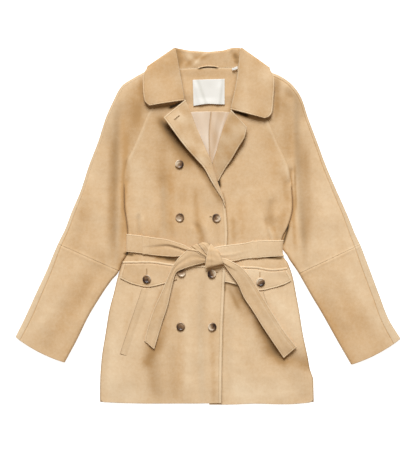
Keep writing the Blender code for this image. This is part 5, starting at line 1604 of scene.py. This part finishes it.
# %% Stitches
STITCH_PITCH, STITCH_LENGTH, STITCH_WIDTH = 3.4, 2.6, 0.42
ALONG = np.array((-1, -0.6, -0.6, -0.6, -0.6, 0, 0, 0, 0, 0.6, 0.6, 0.6, 0.6, 1)) / 2
ROUND = np.radians((0, 0, 90, 180, 270, 0, 90, 180, 270, 0, 90, 180, 270, 0))
THICK = np.array((0, 0.8, 0.8, 0.8, 0.8, 1, 1, 1, 1, 0.8, 0.8, 0.8, 0.8, 0))
SPINDLE_FACES = []
for k, following in ((0, 1), (1, 2), (2, 3), (3, 0)):
    SPINDLE_FACES += [(0, 1 + following, 1 + k), (9 + k, 9 + following, 13)]
    for ring in (1, 5):
        SPINDLE_FACES += [(ring + k, ring + following, ring + 4 + following),
                          (ring + k, ring + 4 + following, ring + 4 + k)]
SPINDLE_FACES = np.array(SPINDLE_FACES)
SEWN_LINES = (          # mesh, distance from the border, and the pieces with their sewn borders
    ("stitching_collar", 4.0, ("collar_fall first end last",)),
    ("stitching_lapels", 4.0, ("lapel_right_turned_out first end", "lapel_left_turned_out first end")),
    ("stitching_front_edge", 7.0, ("front_right_below_waist end",)),
    ("stitching_belt", BELT_STITCH, (
        "belt_round_right_side start end", "belt_round_left_side start end", "belt_under_back start end",
        "belt_tail_right_end start end last", "belt_tail_left_end start end last")),
    ("stitching_pockets", 4.0, ("flap_of_pocket_right last start", "flap_of_pocket_left last start")))


def seam_paths(name, inset, borders):
    """Points and normals of the grid lines at inset from the borders; two lines end where they meet."""
    top, normal, away = SEAMS[name]
    paths = []
    for border in borders:
        level = border in ("first", "last")
        line = int(np.argmin(np.abs(away[border].mean(axis=1 if level else 0) - inset)))
        pick = (line, slice(None)) if level else (slice(None), line)
        keep = np.ones(len(top[pick]), bool)
        for other in borders:
            if (other in ("first", "last")) != level:
                keep &= away[other][pick] >= inset - 0.01
        paths.append((top[pick][keep], normal[pick][keep]))
    return paths


def along_path(place, run, values):
    """Three columns of values, read at places along the run."""
    return np.stack([np.interp(place, run, column) for column in values.T], axis=-1)


def stitches(name, paths):
    """Spindles along every path: centre + direction * along + (side * cos + normal * sin) * thickness."""
    parts = []
    for path, normal in paths:
        run = reach(path, 0)
        count = int(run[-1] / STITCH_PITCH)
        if count < 2:
            continue
        at = (np.arange(count) + 0.5) * run[-1] / count
        up = along_path(at, run, normal)
        centre = along_path(at, run, path) + up * 0.1
        ahead = along_path(at + 1, run, path) - along_path(at - 1, run, path)
        ahead /= np.maximum(np.linalg.norm(ahead, axis=1, keepdims=True), 1e-9)
        beside = np.cross(up, ahead)
        parts.append(centre[:, None] + ahead[:, None] * (ALONG * STITCH_LENGTH)[:, None]
                     + beside[:, None] * (THICK * np.cos(ROUND) * STITCH_WIDTH)[:, None]
                     + up[:, None] * (THICK * np.sin(ROUND) * STITCH_WIDTH * 0.8)[:, None])
    points = np.concatenate(parts)
    faces = SPINDLE_FACES + np.arange(len(points))[:, None, None] * len(ALONG)
    make_piece(name, points.reshape(-1, 3), faces.reshape(-1, 3).tolist(), THREAD)
    return len(points)


for name, inset, seams in SEWN_LINES:
    paths = []
    for seam in seams:
        piece_name, *borders = seam.split()
        paths += seam_paths(piece_name, inset, borders)
    print(name, stitches(name, paths), "stitches")

# %% [markdown]
# ## What rides and what it stands for
# The coat is one rigid body, so every piece rides on root. Each CAD solid is replaced by the piece that
# stands for it.

# %% Declarations
STANDS_FOR = {
    "back_panel": "back", "facing_back_neck": "neck_facing", "lining_back": "back_lining",
    "label_bare": "label", "loop_for_hanging": "hanging_loop", "size_tape": "size_tab",
    "stand_inside": "collar_stand",
    "collar_fall": "collar_leaf", "belt_under_back": "belt_back", "knot_strand_over": "belt_knot_wrap",
    "knot_inside": "belt_knot_core",
}
for side in SIDES:
    STANDS_FOR[f"front_{side}_above_waist"] = f"bodice_{side}"
    STANDS_FOR[f"front_{side}_below_waist"] = f"skirt_{side}"
    STANDS_FOR[f"lapel_{side}_turned_out"] = f"lapel_{side}"
    STANDS_FOR[f"belt_round_{side}_side"] = f"belt_side_{side}"
    STANDS_FOR[f"belt_tail_{side}_end"] = f"belt_tail_{side}"
    STANDS_FOR[f"loop_for_belt_{side}"] = f"belt_loop_{side}"
    STANDS_FOR[f"flap_of_pocket_{side}"] = f"pocket_flap_{side}"
    STANDS_FOR[f"welt_of_pocket_{side}"] = f"pocket_welt_{side}"
    STANDS_FOR[f"piping_at_waist_{side}"] = f"waist_piping_{side}"
    for half in ("front", "back"):
        for part in ("upper", "lower"):
            STANDS_FOR[f"sleeve_{side}_{half}_{part}"] = f"sleeve_{side}_{half}_{part}"
for name, *_ in BUTTONS:
    STANDS_FOR[name + "_horn"] = name
for piece_name, piece in PIECES.items():
    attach(piece, "root")
    if piece_name in STANDS_FOR:
        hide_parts(STANDS_FOR[piece_name])

# %% [markdown]
# ## Counting
# The pieces and their triangles are counted and printed. A size below 10 mm is given as 10, with the true
# area.

# %% Finish
total = sum(sum(len(p.vertices) - 2 for p in piece.data.polygons) for piece in PIECES.values())
print(len(PIECES), "pieces with", total, "triangles")
bpy.context.view_layer.update()
